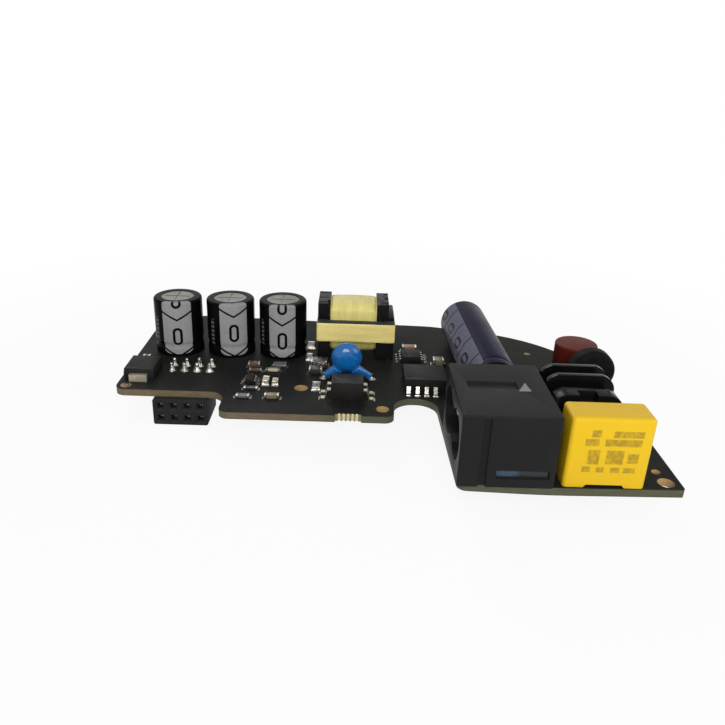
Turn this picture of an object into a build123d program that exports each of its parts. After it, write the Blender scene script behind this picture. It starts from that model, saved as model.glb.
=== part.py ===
from build123d import *
import math
import os

# A mains power supply board: a printed circuit board with its figure-eight inlet, filter parts,
# reservoir capacitor, transformer and output capacitors on top, and a socket strip underneath.
# Millimetres. X runs along the board, Y from the inlet's front edge to the back, Z up.
# The origin is under the middle of the board, level with the underside of the socket strip.
# Heights named below are measured from the board's top face.

# Socket strip under the board's left end, two rows of four
socket_pitch = 2.54
socket_columns = 4
socket_inset = 8.9
socket_body_height = 5.3
socket_body_front = -7.1
socket_body_depth = 8.5
socket_side_margin = 1.4
socket_low_row_height = 1.29
socket_hole = 1.0
socket_funnel = 1.7
socket_funnel_depth = 0.45
socket_edge = 0.25
socket_pin = 0.5
socket_pin_rise = 1.4
socket_pin_root = 3.0
socket_pin_near_y = 3.6
socket_leaf = 0.15
socket_leaf_length = 4.2

# Board
board_left_margin = 3.1
board_right_margin = 2.35
board_thickness = 1.4
board_left_front = -5.8
board_left_round = 2.0
board_step_x = -27.7
board_step_round_in = 3.0
board_step_round_out = 1.8
board_middle_front = -14.0
board_notch_left = 4.45
board_notch_width = 8.2
board_notch_top = -6.15
board_notch_round = 4.0
board_nose_x = 13.3
board_nose_y = -35.2
board_nose_round = 1.6
board_front_y = -35.85
board_front_round = 120.0
board_front_middle_x = 27.0
board_right_front_y = -35.4
board_right_front_round = 0.5
board_right_back_y = 24.5
board_right_round = 30.0
board_back_bend_x = 15.5
board_back_bend_y = 33.6
board_back_bend_round = 20.0
board_back_left_y = 36.5
board_back_left_round = 10.0
tab_left = -6.4
tab_width = 4.8
tab_setback = 0.5
tab_bites = 5
tab_bite_pitch = 0.8
tab_bite_radius = 0.27
hole_left = (-13.32, -3.0)
hole_left_radius = 1.35
hole_middle = (2.33, -11.0)
hole_middle_radius = 1.25
hole_right_inset = (2.37, 1.92)
hole_right_radius = 1.35
hole_pilot_inset = (2.74, 5.13)
hole_pilot_radius = 0.75
hole_corner_inset = (1.87, 1.71)
hole_corner_radius = 0.4
hole_via = (35.5, 18.2)
hole_via_radius = 0.5

# How far every cutting tool runs past the face that it leaves by
cut_past = 1.0

# Leads and solder
lead_clearance = 0.1
lead_tail = 1.1
solder_foot = 0.5
solder_tip = 0.1
solder_height = 0.85
solder_fit = 0.02
solder_waist = 0.45
solder_waist_height = 0.4
solder_pad_foot = 0.6
solder_pad_tip = 0.25
solder_pad_height = 0.3

# Output capacitors, three in a row
output_count = 3
output_gap = 1.1
output_transformer_gap = 2.45
output_y = 15.3
output_radius = 5.0
output_height = 12.0
output_lead_pitch = 5.0

# Reservoir capacitor, lying down behind the inlet
bulk_radius = 4.95
bulk_length = 35.0
bulk_end_x = 22.7
bulk_inlet_gap = 5.9
bulk_turn = 2.15
bulk_seat = 0.1
bulk_lead_pitch = 5.0
bulk_lead_run = 2.6

# What every round capacitor shares
sleeve_thickness = 0.12
sleeve_lip = 1.5
can_edge_round = 0.55
can_wall = 0.45
can_groove_height = 2.4
can_groove_depth = 0.25
can_groove_half = 0.75
can_groove_round_in = 0.3
can_groove_round_out = 0.2
can_foot = 0.15
bung_height = 1.5
capacitor_lead_radius = 0.3
capacitor_lead_bend = 0.9
vent_width = 0.3
vent_depth = 0.12
vent_reach = 2.6

# Inlet, its mouth towards -X
inlet_left = 12.9
inlet_length = 15.1
inlet_front = -36.1
inlet_width = 19.6
inlet_height = 12.2
inlet_mouth_height = 6.1
inlet_lobe_radius = 4.1
inlet_waist = 6.0
inlet_recess_depth = 10.0
inlet_pin_pitch = 8.6
inlet_pin_radius = 1.2
inlet_pin_length = 8.6
inlet_pin_seat = 2.8
inlet_pin_fit = 0.03
inlet_pin_round = 0.5
inlet_tail_width = 1.2
inlet_tail_thickness = 0.8
inlet_edge_round = 0.5
inlet_groove_left = 3.2
inlet_groove_width = 1.2
inlet_groove_depth = 0.5
inlet_window_left = 5.9
inlet_window_length = 8.2
inlet_window_bottom = 1.45
inlet_window_height = 1.5
inlet_window_depth = 0.9
inlet_slot_back = 7.2
inlet_slot_width = 2.7
inlet_slot_depth = 0.5
inlet_slot_left = 2.1
inlet_slot_length = 8.1

# Film capacitor
film_inlet_gap = 1.4
film_length = 12.8
film_front = -35.5
film_width = 5.9
film_height = 12.1
film_wall = 0.6
film_foot_height = 0.5
film_foot_length = 3.2
film_foot_slope = 0.4
film_potting_above_foot = 0.3
film_lead_depth = 2.0
film_round = 0.7
film_lead_inset = 1.4
film_lead_radius = 0.35

# Common-mode choke
choke_inlet_gap = 0.15
choke_width = 11.6
choke_film_gap = 1.6
choke_length = 12.0
choke_height = 12.2
choke_flange_height = 13.3
choke_core_low = 4.2
choke_core_height = 4.2
choke_outer_leg = 1.9
choke_middle_leg = 3.4
choke_yoke = 1.9
choke_flange = 1.0
choke_flange_round = 2.6
choke_mid_flange = 5.2
choke_front_block = 2.0
choke_notch_width = 3.0
choke_notch_depth = 1.4
choke_tube_wall = 0.5
choke_winding_gap = 0.9
choke_winding_round = 1.2
choke_pin_inset = 1.5
choke_pin_radius = 0.35
choke_pin_depth = 1.6

# Transformer
transformer_x = -2.9
transformer_y = 17.3
transformer_length = 16.3
transformer_width = 13.2
core_low = 4.5
core_height = 4.0
core_outer_leg = 2.3
core_middle_leg = 4.2
core_yoke = 2.1
core_gap = 0.2
core_clearance = 0.08
core_tape = 0.1
former_wall = 0.6
former_plate = 0.5
former_right_plate = 1.65
former_height = 12.0
former_seat = 0.3
former_left_block = 2.35
former_right_block = 2.5
former_right_step = 1.1
former_step_height = 9.3
former_slot_width = 0.6
former_slot_depth = 1.2
former_ear = 0.8
former_ear_width = 0.5
former_ear_depth = 1.0
former_rail_inset = 1.0
winding_thickness = 10.9
winding_round = 2.0
transformer_pins_a_side = 4
transformer_pin_pitch = 3.2
transformer_pin_radius = 0.32
transformer_pin_depth = 1.6

# Disc safety capacitor
disc_x = -4.6
disc_y = 2.3
disc_z = 4.6
disc_radius = 3.0
disc_thickness = 3.0
disc_lead_left = -9.0
disc_lead_right = 0.45
disc_lead_radius = 0.28
disc_leg_end = 0.82
disc_leg_hip = 1.1
disc_leg_hip_reach = 0.45
disc_leg_hip_drop = 0.75
disc_leg_ankle = 0.48
disc_lead_depth = 0.25

# Optocoupler
opto_x = -4.3
opto_y = -5.7
opto_length = 6.3
opto_width = 4.6
opto_height = 3.5
opto_lead_pitch = 2.54
opto_lead_width = 1.1
opto_lead_reach = 1.9

# Controller chip
controller_x = 10.95
controller_y = 0.7
controller_length = 8.5
controller_width = 7.8
controller_height = 2.5
controller_leads = 4
controller_lead_pitch = 1.75
controller_lead_inset = 0.9
controller_lead_width = 0.75
controller_lead_reach = 1.9

# Second and third chips
driver_gap = 3.85
driver_y = 13.25
driver_length = 4.2
driver_width = 4.6
driver_height = 1.3
driver_leads = 4
driver_lead_pitch = 1.27
driver_lead_width = 0.42
driver_lead_reach = 1.1
sense_x = -23.45
sense_y = -0.7
sense_length = 1.7
sense_width = 3.0
sense_height = 1.1
sense_leads = 3
sense_lead_pitch = 0.95
sense_lead_width = 0.4
sense_lead_reach = 0.7

# Moulded chip bodies and their leads
chip_stand = 0.1
chip_draft = 7.0
dimple_radius = 0.4
dimple_depth = 0.08
gull_thickness = 0.2
gull_knee = 0.35
gull_ankle = 0.5

# Fuse
fuse_x = 42.2
fuse_y = 6.5
fuse_radius = 4.25
fuse_base_height = 3.3
fuse_cap_height = 4.0
fuse_seat = 0.3
fuse_lead_pitch = 5.08
fuse_round = 0.4
fuse_lead_depth = 1.5

# Thermistor disc
thermistor_x = 42.85
thermistor_y = -2.3
thermistor_radius = 4.3
thermistor_thickness = 4.0
thermistor_seat = 1.25
thermistor_lead_pitch = 5.0
thermistor_round = 1.2

# Output diode
diode_inset = 3.7
diode_y = 1.85
diode_length = 6.9
diode_width = 5.9
diode_height = 2.2
diode_terminal_width = 3.4
diode_terminal_reach = 0.9
diode_terminal_height = 1.4

# Places that follow from the sizes above
board_top = socket_body_height + board_thickness
transformer_left = transformer_x - transformer_length / 2
transformer_right = transformer_x + transformer_length / 2
output_spacing = 2 * output_radius + output_gap
output_last_x = transformer_left - output_transformer_gap - output_radius
output_first_x = output_last_x - output_spacing * (output_count - 1)
board_left = output_first_x - output_radius - board_left_margin
board_right = fuse_x + fuse_radius + board_right_margin
socket_first_x = board_left + socket_inset
diode_x = board_left + diode_inset
driver_x = transformer_right + driver_gap
inlet_right = inlet_left + inlet_length
inlet_back = inlet_front + inlet_width
inlet_middle_y = (inlet_front + inlet_back) / 2
bulk_end_y = inlet_back + bulk_inlet_gap
film_left = inlet_right + film_inlet_gap
film_right = film_left + film_length
film_back = film_front + film_width
film_lead_pitch = film_length - 2 * film_lead_inset
choke_left = inlet_right + choke_inlet_gap
choke_right = choke_left + choke_width
choke_front = film_back + choke_film_gap
choke_back = choke_front + choke_length
hole_right = (board_right - hole_right_inset[0], board_right_front_y + hole_right_inset[1])
hole_pilot = (board_right - hole_pilot_inset[0], board_right_front_y + hole_pilot_inset[1])
hole_corner = (board_left + hole_corner_inset[0], board_left_front + hole_corner_inset[1])

chip_driver_gap = 5.8
chip_edge_gap = 2.4
chip_transformer_gap = 1.55

# Chip parts: middle x and y, the way they lie, length, width and height
chip_capacitor_places = [
    (driver_x, 17.9, "x", 3.2, 1.6, 1.25),
    (driver_x + chip_driver_gap, 10.8, "x", 2.4, 2.0, 1.4),
    (-18.5, -7.6, "x", 2.8, 1.25, 0.9),
    (-23.65, 6.5, "x", 2.5, 1.3, 1.1),
    (-20.35, -1.0, "y", 2.6, 1.3, 1.0),
    (-18.5, -1.3, "y", 2.0, 1.2, 0.9),
    (-10.35, 8.2, "x", 3.4, 2.4, 1.5),
    (-10.9, 4.6, "x", 2.8, 1.7, 1.2),
    (board_left + chip_edge_gap, 9.2, "x", 1.6, 0.8, 0.8),
]
chip_resistor_places = [
    (-24.0, -7.6, "x", 2.6, 1.25, 0.55),
    (-22.95, -4.0, "x", 2.7, 1.2, 0.5),
    (-19.6, 4.8, "x", 2.9, 1.1, 0.5),
    (-23.1, 4.4, "x", 2.6, 0.9, 0.5),
    (-18.5, 7.5, "x", 2.8, 1.8, 0.55),
    (-10.4, -2.4, "y", 3.0, 1.6, 0.6),
    (transformer_left - chip_transformer_gap, 11.9, "y", 3.0, 1.4, 0.6),
    (transformer_left - chip_transformer_gap, 18.6, "y", 3.2, 1.6, 0.6),
]
chip_terminal = 0.45
chip_body_inset = 0.03


def block(x0, x1, y0, y1, z0, z1):
    """A box between two corners, its heights measured from the board's top face."""
    corner = (Align.MIN, Align.MIN, Align.MIN)
    return Pos(x0, y0, board_top + z0) * Box(x1 - x0, y1 - y0, z1 - z0, align=corner)


def post(x, y, z0, z1, radius):
    """An upright cylinder, its heights measured from the board's top face."""
    foot = (Align.CENTER, Align.CENTER, Align.MIN)
    return Pos(x, y, board_top + z0) * Cylinder(radius, z1 - z0, align=foot)


def turned(corners):
    """A solid of revolution about Z from (radius, height, rounding) corners."""
    points = [(corner[0], corner[1]) for corner in corners]
    rounds = [corner[2] for corner in corners]
    return revolve(Plane.XZ * make_face(FilletPolyline(*points, radius=rounds, close=True)), Axis.Z)


def taper(start, end, start_radius, end_radius):
    """A cone between two points."""
    first = Vector(*start)
    run = Vector(*end) - first
    foot = (Align.CENTER, Align.CENTER, Align.MIN)
    return Plane(origin=first, z_dir=run) * Cone(start_radius, end_radius, run.length, align=foot)


def wire(points, radius, bend):
    """A round wire along straight runs joined by bends."""
    path = FilletPolyline(*points, radius=bend)
    return sweep(Plane(origin=path @ 0, z_dir=path % 0) * Circle(radius), path=path)


def group(solids):
    """Separate solids kept together under one name."""
    return Compound(children=list(solids))


def steps(first, pitch, count):
    """Places at an even pitch along one line."""
    return [first + pitch * place for place in range(int(count))]


def socket_columns_x():
    return steps(socket_first_x, socket_pitch, socket_columns)


def socket_rows():
    """Each row of the socket: its height above the origin and where its pins rise."""
    low = socket_low_row_height
    return [(low, socket_pin_near_y + socket_pitch), (low + socket_pitch, socket_pin_near_y)]


def output_xs():
    return steps(output_first_x, output_spacing, output_count)


def bulk_frame():
    """The reservoir capacitor's own frame, its Z axis running from the leads to the far end."""
    turn = math.radians(bulk_turn)
    along = (-math.sin(turn), math.cos(turn), 0)
    side = (math.cos(turn), math.sin(turn), 0)
    start = (bulk_end_x, bulk_end_y, board_top + bulk_seat + bulk_radius)
    return Plane(origin=start, x_dir=side, z_dir=along)


def bulk_lead_feet():
    """Where the reservoir capacitor's two leads enter the board."""
    frame = bulk_frame()
    feet = []
    for side in (-1, 1):
        foot = frame.from_local_coords((side * bulk_lead_pitch / 2, 0, -bulk_lead_run))
        feet.append((foot.X, foot.Y))
    return feet


def transformer_rail_x():
    """The middle of each pin rail, left and right."""
    left = transformer_left + former_left_block / 2
    right = transformer_right - former_right_block / 2 + core_tape
    return (left, right)


def transformer_pin_ys():
    first = transformer_y - transformer_pin_pitch * (transformer_pins_a_side - 1) / 2
    return steps(first, transformer_pin_pitch, transformer_pins_a_side)


def choke_rear_flange_y():
    """The front face of the choke's rear flange, which stands against the core's back yoke."""
    return choke_back - choke_yoke - core_clearance - choke_flange


def choke_pin_places():
    """The four corners of the choke where its pins go through the board."""
    near_x = choke_left + choke_pin_inset
    far_x = choke_right - choke_pin_inset
    near_y = choke_front + choke_front_block / 2
    far_y = choke_rear_flange_y() + choke_flange / 2
    return [(x, y) for x in (near_x, far_x) for y in (near_y, far_y)]


def inlet_tail_x():
    """The middle of the inlet's solder tails, behind the recess floor."""
    return inlet_left + inlet_recess_depth + inlet_pin_seat - inlet_tail_thickness / 2


def pair(x, y, pitch):
    """Two places either side of a point, along X."""
    return [(x - pitch / 2, y), (x + pitch / 2, y)]


def lead_places():
    """Every round lead that goes through the board: x, y and the lead's radius."""
    places = []
    for x in output_xs():
        places += [(px, py, capacitor_lead_radius) for px, py in pair(x, output_y, output_lead_pitch)]
    places += [(px, py, capacitor_lead_radius) for px, py in bulk_lead_feet()]
    film_x = film_left + film_length / 2
    film_y = film_front + film_width / 2
    places += [(px, py, film_lead_radius) for px, py in pair(film_x, film_y, film_lead_pitch)]
    places += [(px, py, choke_pin_radius) for px, py in choke_pin_places()]
    places += [(x, y, transformer_pin_radius) for x in transformer_rail_x() for y in transformer_pin_ys()]
    places += [(disc_lead_left, disc_y, disc_lead_radius), (disc_lead_right, disc_y, disc_lead_radius)]
    places += [(px, py, capacitor_lead_radius) for px, py in pair(fuse_x, fuse_y, fuse_lead_pitch)]
    thermistor = pair(thermistor_x, thermistor_y, thermistor_lead_pitch)
    places += [(px, py, capacitor_lead_radius) for px, py in thermistor]
    return places


def inlet_tail_places():
    """The inlet's two solder tails: x and y."""
    return [(inlet_tail_x(), inlet_middle_y + side * inlet_pin_pitch / 2) for side in (-1, 1)]


def circuit_board():
    notch_right = board_notch_left + board_notch_width
    corners = [
        (board_left, board_left_front, board_left_round),
        (board_step_x, board_left_front, board_step_round_in),
        (board_step_x, board_middle_front, board_step_round_out),
        (board_notch_left, board_middle_front, board_step_round_out),
        (board_notch_left, board_notch_top, board_notch_round),
        (notch_right, board_notch_top, board_notch_round),
        (board_nose_x, board_nose_y, board_nose_round),
        (board_front_middle_x, board_front_y, board_front_round),
        (board_right, board_right_front_y, board_right_front_round),
        (board_right, board_right_back_y, board_right_round),
        (board_back_bend_x, board_back_bend_y, board_back_bend_round),
        (board_left, board_back_left_y, board_back_left_round),
    ]
    points = [(x, y) for x, y, _ in corners]
    rounds = [turn for _, _, turn in corners]
    outline = make_face(FilletPolyline(*points, radius=rounds, close=True))
    board = Pos(0, 0, socket_body_height) * extrude(outline, board_thickness)
    through = -board_thickness - cut_past
    tab_back = board_middle_front + tab_setback
    board -= block(tab_left, tab_left + tab_width, board_middle_front - cut_past, tab_back, through,
                   cut_past)
    first_bite = tab_left + (tab_width - tab_bite_pitch * (tab_bites - 1)) / 2
    for x in steps(first_bite, tab_bite_pitch, tab_bites):
        board -= post(x, tab_back, through, cut_past, tab_bite_radius)
    plain_holes = [
        (hole_left, hole_left_radius),
        (hole_middle, hole_middle_radius),
        (hole_right, hole_right_radius),
        (hole_pilot, hole_pilot_radius),
        (hole_corner, hole_corner_radius),
        (hole_via, hole_via_radius),
    ]
    for (x, y), radius in plain_holes:
        board -= post(x, y, through, cut_past, radius)
    for x, y, radius in lead_places():
        board -= post(x, y, through, cut_past, radius + lead_clearance)
    for x in socket_columns_x():
        for _, y in socket_rows():
            board -= post(x, y, through, cut_past, socket_pin * math.sqrt(0.5) + lead_clearance)
    for x, y in inlet_tail_places():
        half_x = inlet_tail_thickness / 2 + lead_clearance
        half_y = inlet_tail_width / 2 + lead_clearance
        board -= block(x - half_x, x + half_x, y - half_y, y + half_y, through, cut_past)
    return board


def socket_housing():
    left = socket_first_x - socket_side_margin
    right = socket_columns_x()[-1] + socket_side_margin
    back = socket_body_front + socket_body_depth
    body = block(left, right, socket_body_front, back, -board_top, -board_thickness)
    body = chamfer(body.edges().filter_by(Axis.Y), socket_edge)
    for x in socket_columns_x():
        for row, _ in socket_rows():
            z = row - board_top
            half = socket_hole / 2
            body -= block(x - half, x + half, socket_body_front - cut_past, back + cut_past, z - half,
                          z + half)
            mouth = Plane(origin=(x, socket_body_front, row), x_dir=(1, 0, 0), z_dir=(0, 1, 0))
            wide = mouth * Rectangle(socket_funnel, socket_funnel)
            deep = mouth.offset(socket_funnel_depth) * Rectangle(socket_hole, socket_hole)
            body -= loft([wide, deep])
    return body


def socket_contacts():
    contacts = []
    half = socket_pin / 2
    back = socket_body_front + socket_body_depth
    root = back - socket_pin_root
    for x in socket_columns_x():
        for row, pin_y in socket_rows():
            z = row - board_top
            contact = block(x - half, x + half, root, pin_y + half, z - half, z + half)
            contact += block(x - half, x + half, pin_y - half, pin_y + half, z - half, socket_pin_rise)
            for side in (-1, 1):
                leaf_x = x + side * (half - socket_leaf / 2)
                contact += block(leaf_x - socket_leaf / 2, leaf_x + socket_leaf / 2,
                                 root - socket_leaf_length, root, z - half, z + half)
            contacts.append(contact)
    return group(contacts)


def can_outline(radius, top, shrink):
    """The outside of a can from its foot to its top, taken in by shrink."""
    r = radius - shrink
    z = top - shrink
    return [
        (r, can_foot, 0),
        (r, can_groove_height - can_groove_half, can_groove_round_out),
        (r - can_groove_depth, can_groove_height, can_groove_round_in),
        (r, can_groove_height + can_groove_half, can_groove_round_out),
        (r, z, can_edge_round - shrink),
    ]


def can_capacitor(radius, length):
    """A round capacitor standing on its leads at z = 0: its can, sleeve and bung."""
    inside = can_outline(radius, length, sleeve_thickness)
    can_radius = radius - sleeve_thickness
    bung_radius = can_radius - can_wall
    top = length - sleeve_thickness
    can = turned([(0, bung_height, 0), (bung_radius, bung_height, 0), (bung_radius, can_foot, 0)]
                 + inside + [(0, top, 0)])
    for turn in (0, 90):
        score = Pos(0, 0, top) * Rot(0, 0, turn) * Box(2 * vent_reach, vent_width, 2 * vent_depth)
        can -= score
    lip = radius - sleeve_thickness - sleeve_lip
    outside = can_outline(radius, length, 0)
    sleeve = turned(inside + [(lip, top, 0), (lip, length, 0)] + outside[::-1])
    bung = turned([(0, can_foot, 0), (bung_radius, can_foot, 0), (bung_radius, bung_height, 0),
                   (0, bung_height, 0)])
    return can, sleeve, bung


def output_capacitor(x):
    can, sleeve, bung = can_capacitor(output_radius, output_height)
    place = Pos(x, output_y, board_top)
    leads = []
    for px, py in pair(x, output_y, output_lead_pitch):
        leads.append(post(px, py, -board_thickness - lead_tail, bung_height, capacitor_lead_radius))
    bung = place * bung
    for lead in leads:
        bung -= lead
    return {"can": place * can, "sleeve": place * sleeve, "bung": bung, "leads": group(leads)}


def bulk_capacitor():
    can, sleeve, bung = can_capacitor(bulk_radius, bulk_length)
    frame = bulk_frame()
    low = board_top - board_thickness - lead_tail
    leads = []
    for side, (x, y) in zip((-1, 1), bulk_lead_feet()):
        start = frame.from_local_coords((side * bulk_lead_pitch / 2, 0, bung_height))
        turn = (x, y, start.Z)
        run = [tuple(start), turn, (x, y, low)]
        leads.append(wire(run, capacitor_lead_radius, capacitor_lead_bend))
    bung = frame.location * bung
    for lead in leads:
        bung -= lead
    return {"can": frame.location * can, "sleeve": frame.location * sleeve, "bung": bung,
            "leads": group(leads)}


def inlet_pin(side):
    """One contact pin with its seat in the recess floor and its tail down through the board."""
    y = inlet_middle_y + side * inlet_pin_pitch / 2
    floor = inlet_left + inlet_recess_depth
    tip = floor - inlet_pin_length
    z = board_top + inlet_mouth_height
    pin = turned([(0, 0, 0), (inlet_pin_radius, 0, inlet_pin_round),
                  (inlet_pin_radius, inlet_pin_length, 0),
                  (inlet_pin_radius, inlet_pin_length + inlet_pin_seat, 0),
                  (0, inlet_pin_length + inlet_pin_seat, 0)])
    pin = Plane(origin=(tip, y, z), x_dir=(0, 1, 0), z_dir=(1, 0, 0)).location * pin
    x = inlet_tail_x()
    low = -board_thickness - lead_tail
    return pin + block(x - inlet_tail_thickness / 2, x + inlet_tail_thickness / 2,
                       y - inlet_tail_width / 2, y + inlet_tail_width / 2, low, inlet_mouth_height)


def inlet_housing():
    middle = inlet_middle_y
    body = block(inlet_left, inlet_right, inlet_front, inlet_back, 0, inlet_height)
    body = fillet(body.edges().filter_by(Axis.Z), inlet_edge_round)
    body = fillet(body.faces().sort_by(Axis.Z)[-1].edges(), inlet_edge_round / 2)
    mouth = Plane(origin=(inlet_left, middle, board_top + inlet_mouth_height), x_dir=(0, 1, 0),
                  z_dir=(1, 0, 0))
    figure = Rectangle(inlet_pin_pitch, inlet_waist)
    for side in (-1, 1):
        figure += Pos(side * inlet_pin_pitch / 2, 0) * Circle(inlet_lobe_radius)
    body -= extrude(mouth * figure, inlet_recess_depth)
    floor = inlet_left + inlet_recess_depth
    for side in (-1, 1):
        y = middle + side * inlet_pin_pitch / 2
        bore = mouth.offset(inlet_recess_depth - cut_past) * Pos(side * inlet_pin_pitch / 2, 0)
        seat = Circle(inlet_pin_radius + inlet_pin_fit)
        body -= extrude(bore * seat, cut_past + inlet_pin_seat + inlet_pin_fit)
        half = inlet_tail_width / 2 + inlet_pin_fit
        x0 = inlet_tail_x() - inlet_tail_thickness / 2 - inlet_pin_fit
        body -= block(x0, floor + inlet_pin_seat + inlet_pin_fit, y - half, y + half, -cut_past,
                      inlet_mouth_height)
    groove = inlet_left + inlet_groove_left
    body -= block(groove, groove + inlet_groove_width, inlet_front - cut_past,
                  inlet_front + inlet_groove_depth, -cut_past, inlet_height - inlet_edge_round)
    window = inlet_left + inlet_window_left
    body -= block(window, window + inlet_window_length, inlet_front - cut_past,
                  inlet_front + inlet_window_depth, inlet_window_bottom,
                  inlet_window_bottom + inlet_window_height)
    slot = inlet_left + inlet_slot_left
    slot_back = inlet_back - inlet_slot_back
    body -= block(slot, slot + inlet_slot_length, slot_back - inlet_slot_width, slot_back,
                  inlet_height - inlet_slot_depth, inlet_height + cut_past)
    return body


def film_capacitor():
    case = block(film_left, film_right, film_front, film_back, 0, film_height)
    case = fillet(case.edges().filter_by(Axis.Z), film_round)
    case = fillet(case.faces().sort_by(Axis.Z)[-1].edges(), film_round * 0.9)
    relief = [
        (film_left + film_foot_length, 0),
        (film_right - film_foot_length, 0),
        (film_right - film_foot_length - film_foot_slope, film_foot_height),
        (film_left + film_foot_length + film_foot_slope, film_foot_height),
    ]
    case -= Pos(0, film_back, board_top) * extrude(Plane.XZ * make_face(Polyline(*relief, close=True)),
                                                   film_width)
    fill_low = film_foot_height + film_potting_above_foot
    x0 = film_left + film_wall
    x1 = film_right - film_wall
    y0 = film_front + film_wall
    y1 = film_back - film_wall
    potting = block(x0, x1, y0, y1, fill_low, film_height - film_wall)
    case -= block(x0, x1, y0, y1, -cut_past, film_height - film_wall)
    leads = []
    for x, y in pair(film_left + film_length / 2, film_front + film_width / 2, film_lead_pitch):
        lead = post(x, y, -board_thickness - lead_tail, fill_low + film_lead_depth,
                    film_lead_radius)
        potting -= lead
        leads.append(lead)
    return {"film_capacitor_case": case, "film_capacitor_potting": potting,
            "film_capacitor_leads": group(leads)}


def e_half(length, width, height, outer_leg, middle_leg, yoke, gap):
    """Half of a ferrite core: a yoke on the left and three legs that point along +X."""
    inner = (length - 2 * yoke) / 2
    corner = (Align.MIN, Align.CENTER, Align.MIN)
    half = Box(yoke, width, height, align=corner)
    window = (width - 2 * outer_leg)
    for side in (-1, 1):
        leg = Pos(yoke, side * (window + outer_leg) / 2, 0)
        half += leg * Box(inner, outer_leg, height, align=corner)
    half += Pos(yoke, 0, 0) * Box(inner - gap / 2, middle_leg, height, align=corner)
    return half


def transformer():
    left = transformer_left
    right = transformer_right
    middle_z = core_low + core_height / 2
    piece = e_half(transformer_length, transformer_width, core_height, core_outer_leg, core_middle_leg,
                   core_yoke, core_gap)
    core_left = Pos(left, transformer_y, board_top + core_low) * piece
    core_right = Pos(right, transformer_y, board_top + core_low) * Rot(0, 0, 180) * piece
    corner = (Align.CENTER, Align.CENTER, Align.MIN)
    band = Box(transformer_length + 2 * core_tape, transformer_width + 2 * core_tape, core_height,
               align=corner)
    band -= Box(transformer_length, transformer_width, core_height, align=corner)
    tape = Pos(transformer_x, transformer_y, board_top + core_low) * band
    window_left = left + core_yoke + core_clearance
    window_right = right - core_yoke - core_clearance
    window_half = (transformer_width - 2 * core_outer_leg) / 2 - 2 * core_clearance
    tube_half_y = core_middle_leg / 2 + core_clearance + former_wall
    tube_half_z = core_height / 2 + core_clearance + former_wall
    rail_top = core_low - core_clearance
    block_low = core_low + core_height + core_clearance
    y = transformer_y
    former = block(window_left, window_right, y - tube_half_y, y + tube_half_y,
                   middle_z - tube_half_z, middle_z + tube_half_z)
    left_inner = window_left + former_plate
    right_inner = window_right - former_right_plate
    for x0, x1 in ((window_left, left_inner), (right_inner, window_right)):
        former += block(x0, x1, y - window_half, y + window_half, former_seat, former_height)
    block_half = transformer_width / 2 - former_rail_inset
    block_left = left + core_tape
    former += block(block_left, left_inner, y - window_half, y + window_half, block_low, former_height)
    former += block(window_left, left_inner, y - window_half, y - window_half + former_ear_width,
                    former_height - former_ear_depth, former_height + former_ear)
    step_x = right_inner + former_right_block
    former += block(right_inner, step_x, y - window_half, y + window_half, block_low, former_height)
    former += block(right_inner, step_x + former_right_step, y - window_half, y + window_half, block_low,
                    former_step_height)
    former += block(block_left, left_inner, y - block_half, y + block_half, former_seat, rail_top)
    former += block(right_inner, right - core_tape, y - block_half, y + block_half, former_seat, rail_top)
    core_y = core_middle_leg / 2 + core_clearance
    core_z = core_height / 2 + core_clearance
    former -= block(left - cut_past, right + cut_past, y - core_y, y + core_y, middle_z - core_z,
                    middle_z + core_z)
    for place in transformer_pin_ys()[:-1]:
        slot_y = place + transformer_pin_pitch / 2
        for x0, x1 in ((block_left - cut_past, window_left), (window_right, right + cut_past)):
            former -= block(x0, x1, slot_y - former_slot_width / 2, slot_y + former_slot_width / 2,
                            former_height - former_slot_depth, former_height + cut_past)
    pins = []
    for x in transformer_rail_x():
        for pin_y in transformer_pin_ys():
            pin = post(x, pin_y, -board_thickness - lead_tail, former_seat + transformer_pin_depth,
                       transformer_pin_radius)
            former -= pin
            pins.append(pin)
    winding_y = min(winding_thickness / 2, window_half)
    winding = block(left_inner, right_inner, y - winding_y, y + winding_y,
                    middle_z - winding_thickness / 2, middle_z + winding_thickness / 2)
    winding = fillet(winding.edges().filter_by(Axis.X), winding_round)
    winding -= block(left_inner, right_inner, y - tube_half_y, y + tube_half_y,
                     middle_z - tube_half_z, middle_z + tube_half_z)
    return {"transformer_former": former, "transformer_core_left": core_left,
            "transformer_core_right": core_right, "transformer_core_tape": tape,
            "transformer_winding": winding, "transformer_pins": group(pins)}


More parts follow.
